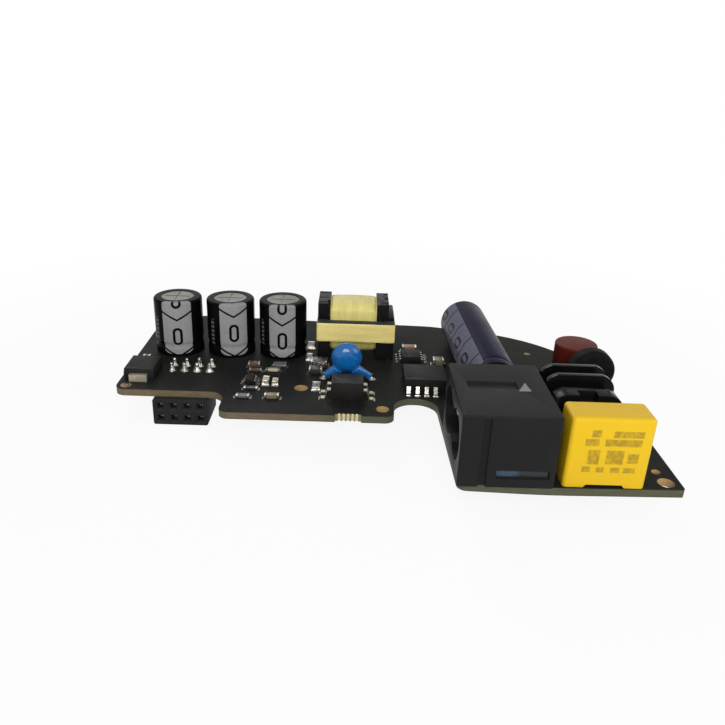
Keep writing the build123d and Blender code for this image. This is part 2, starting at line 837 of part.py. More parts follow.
def choke():
    right = choke_right
    back = choke_back
    x = (choke_left + choke_right) / 2
    piece = e_half(choke_length, choke_width, choke_core_height, choke_outer_leg, choke_middle_leg,
                   choke_yoke, 0)
    low = board_top + choke_core_low
    front_half = Pos(x, choke_front, low) * Rot(0, 0, 90) * piece
    back_half = Pos(x, back, low) * Rot(0, 0, -90) * piece
    middle_z = choke_core_low + choke_core_height / 2
    tube_x = choke_middle_leg / 2 + core_clearance + choke_tube_wall
    tube_z = choke_core_height / 2 + core_clearance + choke_tube_wall
    window_front = choke_front + choke_yoke + core_clearance
    window_back = back - choke_yoke - core_clearance
    window_half = choke_width / 2 - choke_outer_leg - core_clearance
    rail_top = choke_core_low - core_clearance
    cap_low = choke_core_low + choke_core_height + core_clearance
    former = block(x - tube_x, x + tube_x, window_front, window_back, middle_z - tube_z,
                   middle_z + tube_z)
    rear = choke_rear_flange_y()
    mid_flange = choke_front + choke_mid_flange
    flanges = [
        (rear, rear + choke_flange),
        (mid_flange, mid_flange + choke_flange),
        (window_front, window_front + choke_flange),
    ]
    for y0, y1 in flanges:
        top = choke_height if y0 == window_front else choke_flange_height
        former += block(x - window_half, x + window_half, y0, y1, former_seat, top)
        crown = block(choke_left, right, y0, y1, cap_low, top)
        tips = crown.edges().filter_by(Axis.Y).group_by(Axis.Z)[-1]
        former += fillet(tips, choke_flange_round)
    front_top = block(choke_left, right, choke_front, window_front, cap_low, choke_height)
    tips = front_top.edges().filter_by(Axis.Y).group_by(Axis.Z)[-1]
    front_top = fillet(tips, choke_flange_round)
    front_top -= block(x - choke_notch_width / 2, x + choke_notch_width / 2, choke_front - cut_past,
                       window_front, choke_height - choke_notch_depth, choke_height + cut_past)
    former += front_top
    former += block(choke_left, right, choke_front, window_front + choke_flange, former_seat, rail_top)
    former += block(choke_left, right, rear, back, former_seat, rail_top)
    core_x = choke_middle_leg / 2 + core_clearance
    core_z = choke_core_height / 2 + core_clearance
    former -= block(x - core_x, x + core_x, choke_front - cut_past, back + cut_past,
                    middle_z - core_z, middle_z + core_z)
    pins = []
    for pin_x, pin_y in choke_pin_places():
        pin = post(pin_x, pin_y, -board_thickness - lead_tail, former_seat + choke_pin_depth,
                   choke_pin_radius)
        former -= pin
        pins.append(pin)
    windings = []
    top = choke_height - choke_winding_gap
    bottom = 2 * middle_z - top
    spans = [(window_front + choke_flange, mid_flange), (mid_flange + choke_flange, rear)]
    for y0, y1 in spans:
        coil = block(x - window_half, x + window_half, y0, y1, bottom, top)
        coil = fillet(coil.edges().filter_by(Axis.Y), choke_winding_round)
        coil -= block(x - tube_x, x + tube_x, y0, y1, middle_z - tube_z, middle_z + tube_z)
        windings.append(coil)
    return {"choke_former": former, "choke_core_front": front_half, "choke_core_back": back_half,
            "choke_windings": group(windings), "choke_pins": group(pins)}


def disc_capacitor():
    half = disc_thickness / 2
    coat = turned([(0, -half, 0), (disc_radius, -half, half * 0.95), (disc_radius, half, half * 0.95),
                   (0, half, 0)])
    body = Plane(origin=(disc_x, disc_y, board_top + disc_z), x_dir=(1, 0, 0),
                 z_dir=(0, -1, 0)).location * coat
    leads = []
    for lead_x in (disc_lead_left, disc_lead_right):
        side = math.copysign(1, lead_x - disc_x)
        hip = (disc_x + side * disc_radius * disc_leg_hip_reach, disc_y,
               board_top + disc_z - disc_radius * disc_leg_hip_drop)
        foot = (lead_x, disc_y, board_top + disc_leg_end)
        body += taper(hip, foot, disc_leg_hip, disc_leg_ankle)
        leads.append(post(lead_x, disc_y, -board_thickness - lead_tail, disc_leg_end + disc_lead_depth,
                          disc_lead_radius))
    for lead in leads:
        body -= lead
    return {"disc_capacitor_body": body, "disc_capacitor_leads": group(leads)}


def moulded(x, y, length, width, height):
    """A moulded chip body with drafted sides, a parting line at half height and a marking dimple."""
    half = height / 2
    middle = Pos(x, y, board_top + chip_stand + half)
    body = middle * extrude(Rectangle(length, width), half, taper=chip_draft)
    body += middle * extrude(Rectangle(length, width), -half, taper=chip_draft)
    dimple_x = x - length / 2 + 3 * dimple_radius
    dimple_y = y - width / 2 + 3 * dimple_radius
    top = chip_stand + height
    return body - post(dimple_x, dimple_y, top - dimple_depth, top + cut_past, dimple_radius)


def gull(x, y, turn, width, reach, exit_height):
    """A bent lead that leaves a body at exit_height, turned about Z to point away from it."""
    t = gull_thickness
    knee = reach * gull_knee
    ankle = reach * gull_ankle
    outline = [(0, exit_height + t), (knee, exit_height + t), (ankle + t, t), (reach, t), (reach, 0),
               (ankle, 0), (knee - t / 2, exit_height), (0, exit_height)]
    strip = extrude(Plane.XZ * make_face(Polyline(*outline, close=True)), width / 2, both=True)
    return Pos(x, y, board_top) * Rot(0, 0, turn) * strip


def chip_exit(height):
    """Where the leads leave a moulded body of this height."""
    return chip_stand + height / 2 - gull_thickness / 2


def optocoupler():
    body = moulded(opto_x, opto_y, opto_length, opto_width, opto_height)
    leads = []
    for side, turn in ((-1, 180), (1, 0)):
        for row in (-1, 1):
            leads.append(gull(opto_x + side * opto_length / 2, opto_y + row * opto_lead_pitch / 2, turn,
                              opto_lead_width, opto_lead_reach, chip_exit(opto_height)))
    return {"optocoupler_body": body, "optocoupler_leads": group(leads)}


def controller():
    body = moulded(controller_x, controller_y, controller_length, controller_width, controller_height)
    first = controller_x - controller_length / 2 + controller_lead_inset
    leads = []
    for side, turn in ((-1, -90), (1, 90)):
        for x in steps(first, controller_lead_pitch, controller_leads):
            leads.append(gull(x, controller_y + side * controller_width / 2, turn, controller_lead_width,
                              controller_lead_reach, chip_exit(controller_height)))
    return {"controller_body": body, "controller_leads": group(leads)}


def side_leaded(x, y, length, width, height, count, pitch, lead_width, reach):
    """A chip body with a row of leads on its left and right sides."""
    body = moulded(x, y, length, width, height)
    leads = []
    first = y - pitch * (count - 1) / 2
    for side, turn in ((-1, 180), (1, 0)):
        for lead_y in steps(first, pitch, count):
            leads.append(gull(x + side * length / 2, lead_y, turn, lead_width, reach, chip_exit(height)))
    return body, group(leads)


def fuse():
    base_top = fuse_seat + fuse_base_height
    base = post(fuse_x, fuse_y, fuse_seat, base_top, fuse_radius)
    base = chamfer(base.faces().sort_by(Axis.Z)[0].edges(), fuse_round)
    cap = post(fuse_x, fuse_y, base_top, base_top + fuse_cap_height, fuse_radius)
    cap = fillet(cap.faces().sort_by(Axis.Z)[-1].edges(), fuse_round)
    leads = []
    for x, y in pair(fuse_x, fuse_y, fuse_lead_pitch):
        lead = post(x, y, -board_thickness - lead_tail, fuse_seat + fuse_lead_depth, capacitor_lead_radius)
        base -= lead
        leads.append(lead)
    return {"fuse_cap": cap, "fuse_base": base, "fuse_leads": group(leads)}


def thermistor():
    middle = thermistor_seat + thermistor_radius
    half = thermistor_thickness / 2
    coin = turned([(0, -half, 0), (thermistor_radius, -half, thermistor_round),
                   (thermistor_radius, half, thermistor_round), (0, half, 0)])
    disc = Plane(origin=(thermistor_x, thermistor_y, board_top + middle), x_dir=(1, 0, 0),
                 z_dir=(0, -1, 0)).location * coin
    leads = []
    for x, y in pair(thermistor_x, thermistor_y, thermistor_lead_pitch):
        lead = post(x, y, -board_thickness - lead_tail, middle - thermistor_radius / 3,
                    capacitor_lead_radius)
        disc -= lead
        leads.append(lead)
    return {"thermistor_disc": disc, "thermistor_leads": group(leads)}


def diode():
    body = moulded(diode_x, diode_y, diode_width, diode_length, diode_height)
    terminals = []
    half_width = diode_terminal_width / 2
    for side in (-1, 1):
        near = diode_y + side * diode_length / 2
        far = near + side * diode_terminal_reach
        y0, y1 = min(near, far), max(near, far)
        terminals.append(block(diode_x - half_width, diode_x + half_width, y0, y1, 0,
                               diode_terminal_height))
    return {"diode_body": body, "diode_terminals": group(terminals)}


def chip_parts(places):
    """Chip bodies between their two plated ends, as two lists of solids."""
    bodies = []
    ends = []
    for x, y, way, length, width, height in places:
        turn = 90 if way == "y" else 0
        place = Pos(x, y, board_top) * Rot(0, 0, turn)
        corner = (Align.CENTER, Align.CENTER, Align.MIN)
        inner = length - 2 * chip_terminal
        bodies.append(place * Pos(0, 0, chip_body_inset) * Box(
            inner, width - 2 * chip_body_inset, height - 2 * chip_body_inset, align=corner))
        for side in (-1, 1):
            end = Pos(side * (length - chip_terminal) / 2, 0, 0)
            ends.append(place * end * Box(chip_terminal, width, height, align=corner))
    return bodies, ends


def solder_ring(x, y, lead_radius, face, way):
    """A solder fillet on one face of the board, rising away from it round its lead."""
    ring = turned([(lead_radius + solder_fit, 0, 0), (lead_radius + solder_foot, 0, 0),
                   (lead_radius + solder_foot * solder_waist, solder_height * solder_waist_height, 0),
                   (lead_radius + solder_tip, solder_height, 0),
                   (lead_radius + solder_fit, solder_height, 0)])
    if way < 0:
        ring = Rot(180, 0, 0) * ring
    return Pos(x, y, board_top + face) * ring


def solder_joints():
    joints = []
    for x, y, radius in lead_places():
        joints.append(solder_ring(x, y, radius, -board_thickness, -1))
    for x, y in inlet_tail_places():
        half_diagonal = math.hypot(inlet_tail_width, inlet_tail_thickness) / 2
        joints.append(solder_ring(x, y, half_diagonal, -board_thickness, -1))
    for x in socket_columns_x():
        for _, y in socket_rows():
            joints.append(solder_ring(x, y, socket_pin * math.sqrt(0.5), 0, 1))
    for x in (disc_lead_left, disc_lead_right):
        pad = turned([(disc_lead_radius + solder_fit, 0, 0), (disc_lead_radius + solder_pad_foot, 0, 0),
                      (disc_lead_radius + solder_pad_tip, solder_pad_height, 0),
                      (disc_lead_radius + solder_fit, solder_pad_height, 0)])
        joints.append(Pos(x, disc_y, board_top) * pad)
    return group(joints)


pieces = {
    "circuit_board": circuit_board(),
    "socket_housing": socket_housing(),
    "socket_contacts": socket_contacts(),
    "inlet_housing": inlet_housing(),
    "inlet_pins": group([inlet_pin(side) for side in (-1, 1)]),
    "solder_joints": solder_joints(),
}
for number, capacitor_x in enumerate(output_xs(), start=1):
    for name, shape in output_capacitor(capacitor_x).items():
        pieces[f"output_capacitor_{number}_{name}"] = shape
for name, shape in bulk_capacitor().items():
    pieces[f"reservoir_capacitor_{name}"] = shape
for made in (film_capacitor, transformer, choke, disc_capacitor, optocoupler, controller, fuse,
             thermistor, diode):
    pieces.update(made())
pieces["driver_chip_body"], pieces["driver_chip_leads"] = side_leaded(
    driver_x, driver_y, driver_length, driver_width, driver_height, driver_leads, driver_lead_pitch,
    driver_lead_width, driver_lead_reach)
pieces["sense_chip_body"], pieces["sense_chip_leads"] = side_leaded(
    sense_x, sense_y, sense_length, sense_width, sense_height, sense_leads, sense_lead_pitch,
    sense_lead_width, sense_lead_reach)
capacitor_bodies, capacitor_ends = chip_parts(chip_capacitor_places)
resistor_bodies, resistor_ends = chip_parts(chip_resistor_places)
pieces["chip_capacitor_bodies"] = group(capacitor_bodies)
pieces["chip_capacitor_ends"] = group(capacitor_ends)
pieces["chip_resistor_bodies"] = group(resistor_bodies)
pieces["chip_resistor_ends"] = group(resistor_ends)

os.makedirs("parts", exist_ok=True)
for name, shape in pieces.items():
    export_step(shape, f"parts/{name}.step")
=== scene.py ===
import math
import bmesh
import bpy
from mathutils import Matrix, Vector, noise


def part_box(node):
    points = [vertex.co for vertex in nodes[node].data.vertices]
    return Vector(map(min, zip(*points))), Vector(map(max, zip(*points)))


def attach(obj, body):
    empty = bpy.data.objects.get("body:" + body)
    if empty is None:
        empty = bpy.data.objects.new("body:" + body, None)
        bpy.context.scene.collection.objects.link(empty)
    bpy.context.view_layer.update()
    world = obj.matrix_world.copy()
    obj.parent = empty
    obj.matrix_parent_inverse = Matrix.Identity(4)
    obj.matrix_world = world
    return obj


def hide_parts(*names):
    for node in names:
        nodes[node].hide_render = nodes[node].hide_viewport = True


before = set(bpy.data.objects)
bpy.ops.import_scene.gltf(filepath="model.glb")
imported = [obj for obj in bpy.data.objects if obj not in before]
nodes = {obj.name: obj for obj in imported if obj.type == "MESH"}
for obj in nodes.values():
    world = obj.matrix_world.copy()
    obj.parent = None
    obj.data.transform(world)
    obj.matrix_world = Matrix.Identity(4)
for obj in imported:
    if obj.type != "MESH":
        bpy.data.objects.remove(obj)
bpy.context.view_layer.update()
scene = bpy.context.scene
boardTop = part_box("circuit_board")[1].z * 1000  # component side of the board, in millimetres
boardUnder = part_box("circuit_board")[0].z * 1000
print("frame loaded:", len(nodes), "nodes")


def tint(red, green, blue):  # a colour as a colour picker shows it, made linear
    parts = [value / 255 for value in (red, green, blue)]
    return tuple(p / 12.92 if p <= 0.04045 else ((p + 0.055) / 1.055) ** 2.4 for p in parts) + (1.0,)


# Node building: a value is either a number, a colour or another node's output
def feed(tree, socket, value):
    if isinstance(value, bpy.types.NodeSocket):
        tree.links.new(value, socket)
    elif value is not None:
        socket.default_value = value


def calc(tree, operation, *values):
    node = tree.nodes.new("ShaderNodeMath")
    node.operation = operation
    for socket, value in zip(node.inputs, values):
        feed(tree, socket, value)
    return node.outputs[0]


def remap(tree, value, low, high, newLow=0.0, newHigh=1.0, smooth=False):
    node = tree.nodes.new("ShaderNodeMapRange")
    node.interpolation_type = "SMOOTHSTEP" if smooth else "LINEAR"
    for socket, part in zip(node.inputs, (value, low, high, newLow, newHigh)):
        feed(tree, socket, part)
    return node.outputs[0]


def mixColour(tree, factor, first, second, mode="MIX"):
    node = tree.nodes.new("ShaderNodeMix")
    node.data_type = "RGBA"
    node.blend_type = mode
    for index, value in ((0, factor), (6, first), (7, second)):
        feed(tree, node.inputs[index], value)
    return node.outputs[2]


def noiseField(tree, vector, scale, detail=3.0, roughness=0.5, stretch=None):
    if stretch:
        turned = tree.nodes.new("ShaderNodeMapping")
        feed(tree, turned.inputs["Vector"], vector)
        turned.inputs["Scale"].default_value = stretch
        vector = turned.outputs[0]
    node = tree.nodes.new("ShaderNodeTexNoise")
    feed(tree, node.inputs["Vector"], vector)
    feed(tree, node.inputs["Scale"], scale)
    node.inputs["Detail"].default_value = detail
    node.inputs["Roughness"].default_value = roughness
    return node.outputs["Fac"]


def axes(tree, vector):
    node = tree.nodes.new("ShaderNodeSeparateXYZ")
    feed(tree, node.inputs[0], vector)
    return node.outputs


def newGroup(name, inputs, outputs):
    group = bpy.data.node_groups.new(name, "ShaderNodeTree")
    for label, kind, value in inputs:
        socket = group.interface.new_socket(name=label, in_out="INPUT", socket_type="NodeSocket" + kind)
        if value is not None:
            socket.default_value = value
    for label, kind in outputs:
        group.interface.new_socket(name=label, in_out="OUTPUT", socket_type="NodeSocket" + kind)
    return group, group.nodes.new("NodeGroupInput").outputs, group.nodes.new("NodeGroupOutput").inputs


def useGroup(tree, group, values):
    node = tree.nodes.new("ShaderNodeGroup")
    node.node_tree = group
    for label, value in values.items():
        feed(tree, node.inputs[label], value)
    return node.outputs


def buildSurfaceGrain():  # moulding grain: two colours and a roughness that drift over the surface
    group, given, out = newGroup("surfaceGrain", [
        ("Vector", "Vector", None), ("Base Color", "Color", None), ("Drift Color", "Color", None),
        ("Fine Scale", "Float", 4000.0), ("Broad Scale", "Float", 160.0),
        ("Rough Low", "Float", 0.4), ("Rough High", "Float", 0.6)],
        [("Color", "Color"), ("Roughness", "Float"), ("Height", "Float")])
    fine = noiseField(group, given["Vector"], given["Fine Scale"], 2.0)
    broad = noiseField(group, given["Vector"], given["Broad Scale"], 4.0, 0.6)
    drift = remap(group, calc(group, "ADD", calc(group, "MULTIPLY", fine, 0.35),
                              calc(group, "MULTIPLY", broad, 0.65)), 0.36, 0.64)
    feed(group, out["Color"], mixColour(group, drift, given["Base Color"], given["Drift Color"]))
    feed(group, out["Roughness"], remap(group, broad, 0.3, 0.7, given["Rough Low"], given["Rough High"]))
    feed(group, out["Height"], calc(group, "ADD", fine, calc(group, "MULTIPLY", broad, 0.5)))
    return group


def buildEdgeWearAndHighlight():  # a mask of the edges: partly rubbed wear, partly a painted highlight along them
    group, given, out = newGroup("edgeWearAndHighlight", [
        ("Vector", "Vector", None), ("Radius", "Float", 0.0001), ("Amount", "Float", 0.4)],
        [("Mask", "Float")])
    bevel = group.nodes.new("ShaderNodeBevel")
    bevel.samples = 4
    feed(group, bevel.inputs["Radius"], given["Radius"])
    flat = group.nodes.new("ShaderNodeNewGeometry")
    dot = group.nodes.new("ShaderNodeVectorMath")
    dot.operation = "DOT_PRODUCT"
    feed(group, dot.inputs[0], bevel.outputs[0])
    feed(group, dot.inputs[1], flat.outputs["Normal"])
    edge = remap(group, dot.outputs["Value"], 0.995, 0.8)
    patchy = remap(group, noiseField(group, given["Vector"], 900.0, 3.0), 0.35, 0.65)
    feed(group, out["Mask"], calc(group, "MULTIPLY", calc(group, "MULTIPLY", edge, patchy), given["Amount"]))
    return group


def buildDustFilm():  # a thin uneven film of dust on what faces up
    group, given, out = newGroup("dustFilm", [
        ("Vector", "Vector", None), ("Color", "Color", None), ("Roughness", "Float", 0.5),
        ("Dust Color", "Color", tint(150, 146, 138)), ("Amount", "Float", 0.1)],
        [("Color", "Color"), ("Roughness", "Float")])
    normal = group.nodes.new("ShaderNodeNewGeometry").outputs["Normal"]
    facing = remap(group, axes(group, normal)["Z"], 0.2, 1.0)
    specks = remap(group, noiseField(group, given["Vector"], 2600.0, 3.0, 0.65), 0.56, 0.72)
    haze = remap(group, noiseField(group, given["Vector"], 230.0, 4.0, 0.6), 0.3, 0.75, 0.1, 0.5)
    cover = calc(group, "MULTIPLY", facing, calc(group, "MULTIPLY", calc(group, "MAXIMUM", specks, haze),
                                                 given["Amount"]))
    feed(group, out["Color"], mixColour(group, cover, given["Color"], given["Dust Color"]))
    feed(group, out["Roughness"], calc(group, "ADD", given["Roughness"], calc(group, "MULTIPLY", cover, 0.5)))
    return group


surfaceGrain = buildSurfaceGrain()
edgeWearAndHighlight = buildEdgeWearAndHighlight()
dustFilm = buildDustFilm()


def makeFinish(name, look, paint=None):
    material = bpy.data.materials.new(name)
    material.use_nodes = True
    tree = material.node_tree
    shader = tree.nodes["Principled BSDF"]
    place = tree.nodes.new("ShaderNodeTexCoord").outputs["Object"]
    low, high = look["roughness"]
    grain = useGroup(tree, surfaceGrain, {
        "Vector": place, "Base Color": look["colour"], "Drift Color": look["drift"],
        "Fine Scale": look.get("fineScale", 4000.0), "Broad Scale": look.get("broadScale", 160.0),
        "Rough Low": low, "Rough High": high})
    colour, rough, height = grain["Color"], grain["Roughness"], grain["Height"]
    if paint:
        colour, rough, height = paint(tree, place, colour, rough, height)
    # edge mask in a lighter colour: rubbed wear and a painted highlight along the edges
    if look.get("wear"):
        worn = useGroup(tree, edgeWearAndHighlight, {"Vector": place, "Radius": look.get("wearRadius", 0.00012),
                                         "Amount": look["wear"]})
        colour = mixColour(tree, worn["Mask"], colour, look.get("wornColour", tint(120, 118, 114)))
    if look.get("dust"):
        film = useGroup(tree, dustFilm, {"Vector": place, "Color": colour, "Roughness": rough,
                                         "Amount": look["dust"]})
        colour, rough = film["Color"], film["Roughness"]
    bump = tree.nodes.new("ShaderNodeBump")
    bump.inputs["Strength"].default_value = look.get("bump", 0.3)
    bump.inputs["Distance"].default_value = look.get("bumpDepth", 0.00003)
    feed(tree, bump.inputs["Height"], height)
    feed(tree, shader.inputs["Normal"], bump.outputs[0])
    feed(tree, shader.inputs["Base Color"], colour)
    feed(tree, shader.inputs["Roughness"], rough)
    shader.inputs["Metallic"].default_value = look.get("metallic", 0.0)
    shader.inputs["Specular IOR Level"].default_value = look.get("specular", 0.5)
    shader.inputs["Coat Weight"].default_value = look.get("coat", 0.0)
    shader.inputs["Coat Roughness"].default_value = look.get("coatRoughness", 0.1)
    return material


# Mesh building: pieces are shaped in millimetres and shrunk to metres when they are settled
def newObject(name, mesh, *materials):
    piece = bpy.data.objects.new(name, mesh)
    scene.collection.objects.link(piece)
    for material in materials:
        mesh.materials.append(material)
    return piece


def bake(piece):  # its modifiers become plain mesh
    graph = bpy.context.evaluated_depsgraph_get()
    mesh = bpy.data.meshes.new_from_object(piece.evaluated_get(graph))
    piece.modifiers.clear()
    piece.data = mesh
    return mesh


def settle(piece, slot, *replaced, sharp=35.0, scale=0.001):
    if piece.modifiers:
        bake(piece)
    mesh = piece.data
    mesh.transform(Matrix.Scale(scale, 4))
    mesh.shade_smooth()
    mesh.set_sharp_from_angle(angle=math.radians(sharp))
    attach(piece, "root")
    if replaced:
        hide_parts(*replaced)
    return piece


def mergedCopy(node, flatAngle=1.0):  # a CAD node as one joined bmesh, in millimetres
    source = nodes[node].data
    work = bmesh.new()
    corners = [work.verts.new(v.co * 1000) for v in source.vertices]
    for face in source.polygons:
        work.faces.new([corners[index] for index in face.vertices])
    bmesh.ops.remove_doubles(work, verts=work.verts, dist=0.0015)
    if flatAngle:
        bmesh.ops.dissolve_limit(work, angle_limit=math.radians(flatAngle), verts=work.verts, edges=work.edges)
    return work


def meshFrom(work, name):
    mesh = bpy.data.meshes.new(name)
    work.to_mesh(mesh)
    work.free()
    return mesh


def addBevel(piece, width, segments=2, angle=40.0):
    bevel = piece.modifiers.new("roundedEdges", "BEVEL")
    bevel.width = width
    bevel.segments = segments
    bevel.limit_method = "ANGLE"
    bevel.angle_limit = math.radians(angle)
    bevel.harden_normals = False
    return bevel


def dressed(name, node, material, slot, edge=0.08, pick=None):  # the CAD shape with softened edges
    work = mergedCopy(node)
    materials = material if isinstance(material, (list, tuple)) else [material]
    if pick:
        for face in work.faces:
            face.material_index = pick(face)
    piece = newObject(name, meshFrom(work, name), *materials)
    addBevel(piece, edge)
    return settle(piece, slot, node)


def loosePieces(node):  # low and high corners, in millimetres, of each separate solid in a node
    work = mergedCopy(node, 0)
    seen = set()
    boxes = []
    for start in work.verts:
        if start in seen:
            continue
        stack = [start]
        seen.add(start)
        found = []
        while stack:
            vert = stack.pop()
            found.append(vert.co.copy())
            for edge in vert.link_edges:
                other = edge.other_vert(vert)
                if other not in seen:
                    seen.add(other)
                    stack.append(other)
        low = Vector(min(p[axis] for p in found) for axis in range(3))
        high = Vector(max(p[axis] for p in found) for axis in range(3))
        boxes.append((low, high))
    work.free()
    return boxes


def lathe(name, profile, segments, facing=0.0, closed=True):
    # revolves (radius, height) points about Z; UV runs round from the back of the facing angle, and along
    lengths = [0.0]
    for first, second in zip(profile, profile[1:] + profile[:1]):
        lengths.append(lengths[-1] + math.dist(first, second))
    work = bmesh.new()
    uv = work.loops.layers.uv.new("wrap")
    turns = [math.radians(facing) + math.pi + 2 * math.pi * step / segments for step in range(segments)]
    rings = [[work.verts.new((radius * math.cos(turn), radius * math.sin(turn), height)) for turn in turns]
             for radius, height in profile]
    for index in range(len(profile) if closed else len(profile) - 1):
        below, above = rings[index], rings[(index + 1) % len(profile)]
        for step in range(segments):
            after = (step + 1) % segments
            face = work.faces.new((below[step], below[after], above[after], above[step]))
            around = (step / segments, (step + 1) / segments)
            along = (lengths[index] / lengths[-1], lengths[index + 1] / lengths[-1])
            places = ((around[0], along[0]), (around[1], along[0]), (around[1], along[1]), (around[0], along[1]))
            for loop, spot in zip(face.loops, places):
                loop[uv].uv = spot
    bmesh.ops.remove_doubles(work, verts=work.verts, dist=0.0001)
    return meshFrom(work, name), lengths[-1]


def arc(centreX, centreZ, radius, start, end, steps):
    turns = [math.radians(start + (end - start) * step / steps) for step in range(steps + 1)]
    return [(centreX + radius * math.cos(turn), centreZ + radius * math.sin(turn)) for turn in turns]


# Geometry Nodes trees
def geometryTree(name, inputs):
    tree = bpy.data.node_groups.new(name, "GeometryNodeTree")
    tree.interface.new_socket(name="Geometry", in_out="INPUT", socket_type="NodeSocketGeometry")
    for label, kind, value in inputs:
        socket = tree.interface.new_socket(name=label, in_out="INPUT", socket_type="NodeSocket" + kind)
        if value is not None:
            socket.default_value = value
    tree.interface.new_socket(name="Geometry", in_out="OUTPUT", socket_type="NodeSocketGeometry")
    return tree, tree.nodes.new("NodeGroupInput").outputs, tree.nodes.new("NodeGroupOutput").inputs


def addTree(piece, tree, values):
    modifier = piece.modifiers.new(tree.name, "NODES")
    modifier.node_group = tree
    for item in tree.interface.items_tree:
        if item.in_out == "INPUT" and item.name in values:
            modifier[item.identifier] = values[item.name]
    return modifier


def wire(tree, kind, **values):  # a geometry node, its inputs named with spaces left out
    node = tree.nodes.new(kind)
    for label, value in values.items():
        for socket in node.inputs:
            if socket.name.replace(" ", "") == label:
                feed(tree, socket, value)
                break
    return node


def buildPlacedShapes():  # one shape set on each point, by the point's own size and turn
    tree, given, out = geometryTree("placedShapes", [
        ("Shape", "Object", None), ("Variation", "Float", 0.06), ("Seed", "Int", 3),
        ("Finish", "Material", None)])
    shape = wire(tree, "GeometryNodeObjectInfo", Object=given["Shape"])
    size = tree.nodes.new("GeometryNodeInputNamedAttribute")
    size.data_type = "FLOAT_VECTOR"
    size.inputs["Name"].default_value = "size"
    turn = tree.nodes.new("GeometryNodeInputNamedAttribute")
    turn.data_type = "FLOAT_VECTOR"
    turn.inputs["Name"].default_value = "turn"
    lowest = calc(tree, "SUBTRACT", 1.0, given["Variation"])
    highest = calc(tree, "ADD", 1.0, given["Variation"])
    change = wire(tree, "FunctionNodeRandomValue", Seed=given["Seed"])
    feed(tree, change.inputs[2], lowest)
    feed(tree, change.inputs[3], highest)
    scaled = tree.nodes.new("ShaderNodeVectorMath")
    scaled.operation = "SCALE"
    feed(tree, scaled.inputs[0], size.outputs[0])
    feed(tree, scaled.inputs["Scale"], change.outputs[1])
    spin = wire(tree, "FunctionNodeEulerToRotation", Euler=turn.outputs[0])
    placed = wire(tree, "GeometryNodeInstanceOnPoints", Points=given["Geometry"],
                  Instance=shape.outputs["Geometry"], Rotation=spin.outputs[0], Scale=scaled.outputs[0])
    solid = wire(tree, "GeometryNodeRealizeInstances", Geometry=placed.outputs[0])
    finished = wire(tree, "GeometryNodeSetMaterial", Geometry=solid.outputs[0], Material=given["Finish"])
    feed(tree, out["Geometry"], finished.outputs[0])
    return tree


def buildWireTurns():  # closed turns of wire side by side along Y
    tree, given, out = geometryTree("wireTurns", [
        ("Turns", "Int", 12), ("Pitch", "Float", 0.3), ("Wire Radius", "Float", 0.15),
        ("Width", "Float", 8.0), ("Height", "Float", 9.0), ("Corner Radius", "Float", 1.2),
        ("Unevenness", "Float", 0.01), ("Seed", "Int", 5), ("Finish", "Material", None)])
    loop = wire(tree, "GeometryNodeCurvePrimitiveQuadrilateral", Width=given["Width"], Height=given["Height"])
    rounded = tree.nodes.new("GeometryNodeFilletCurve")
    if "Mode" in rounded.inputs:
        rounded.inputs["Mode"].default_value = "Poly"
    else:
        rounded.mode = "POLY"
    feed(tree, rounded.inputs["Curve"], loop.outputs[0])
    feed(tree, rounded.inputs["Radius"], given["Corner Radius"])
    feed(tree, rounded.inputs["Count"], 5)
    upright = wire(tree, "GeometryNodeTransform", Geometry=rounded.outputs[0])
    upright.inputs["Rotation"].default_value = (math.radians(90), 0, 0)
    step = tree.nodes.new("ShaderNodeCombineXYZ")
    feed(tree, step.inputs["Y"], given["Pitch"])
    row = wire(tree, "GeometryNodeMeshLine", Count=given["Turns"], Offset=step.outputs[0])
    change = wire(tree, "FunctionNodeRandomValue", Seed=given["Seed"])
    feed(tree, change.inputs[2], calc(tree, "SUBTRACT", 1.0, given["Unevenness"]))
    feed(tree, change.inputs[3], calc(tree, "ADD", 1.0, given["Unevenness"]))
    placed = wire(tree, "GeometryNodeInstanceOnPoints", Points=row.outputs[0], Instance=upright.outputs[0],
                  Scale=change.outputs[1])
    loops = wire(tree, "GeometryNodeRealizeInstances", Geometry=placed.outputs[0])
    section = wire(tree, "GeometryNodeCurvePrimitiveCircle", Resolution=8, Radius=given["Wire Radius"])
    swept = wire(tree, "GeometryNodeCurveToMesh", Curve=loops.outputs[0], ProfileCurve=section.outputs[0])
    solid = wire(tree, "GeometryNodeRealizeInstances", Geometry=swept.outputs[0])
    finished = wire(tree, "GeometryNodeSetMaterial", Geometry=solid.outputs[0], Material=given["Finish"])
    feed(tree, out["Geometry"], finished.outputs[0])
    return tree


placedShapes = buildPlacedShapes()
wireTurns = buildWireTurns()
print("shader groups and geometry trees built")


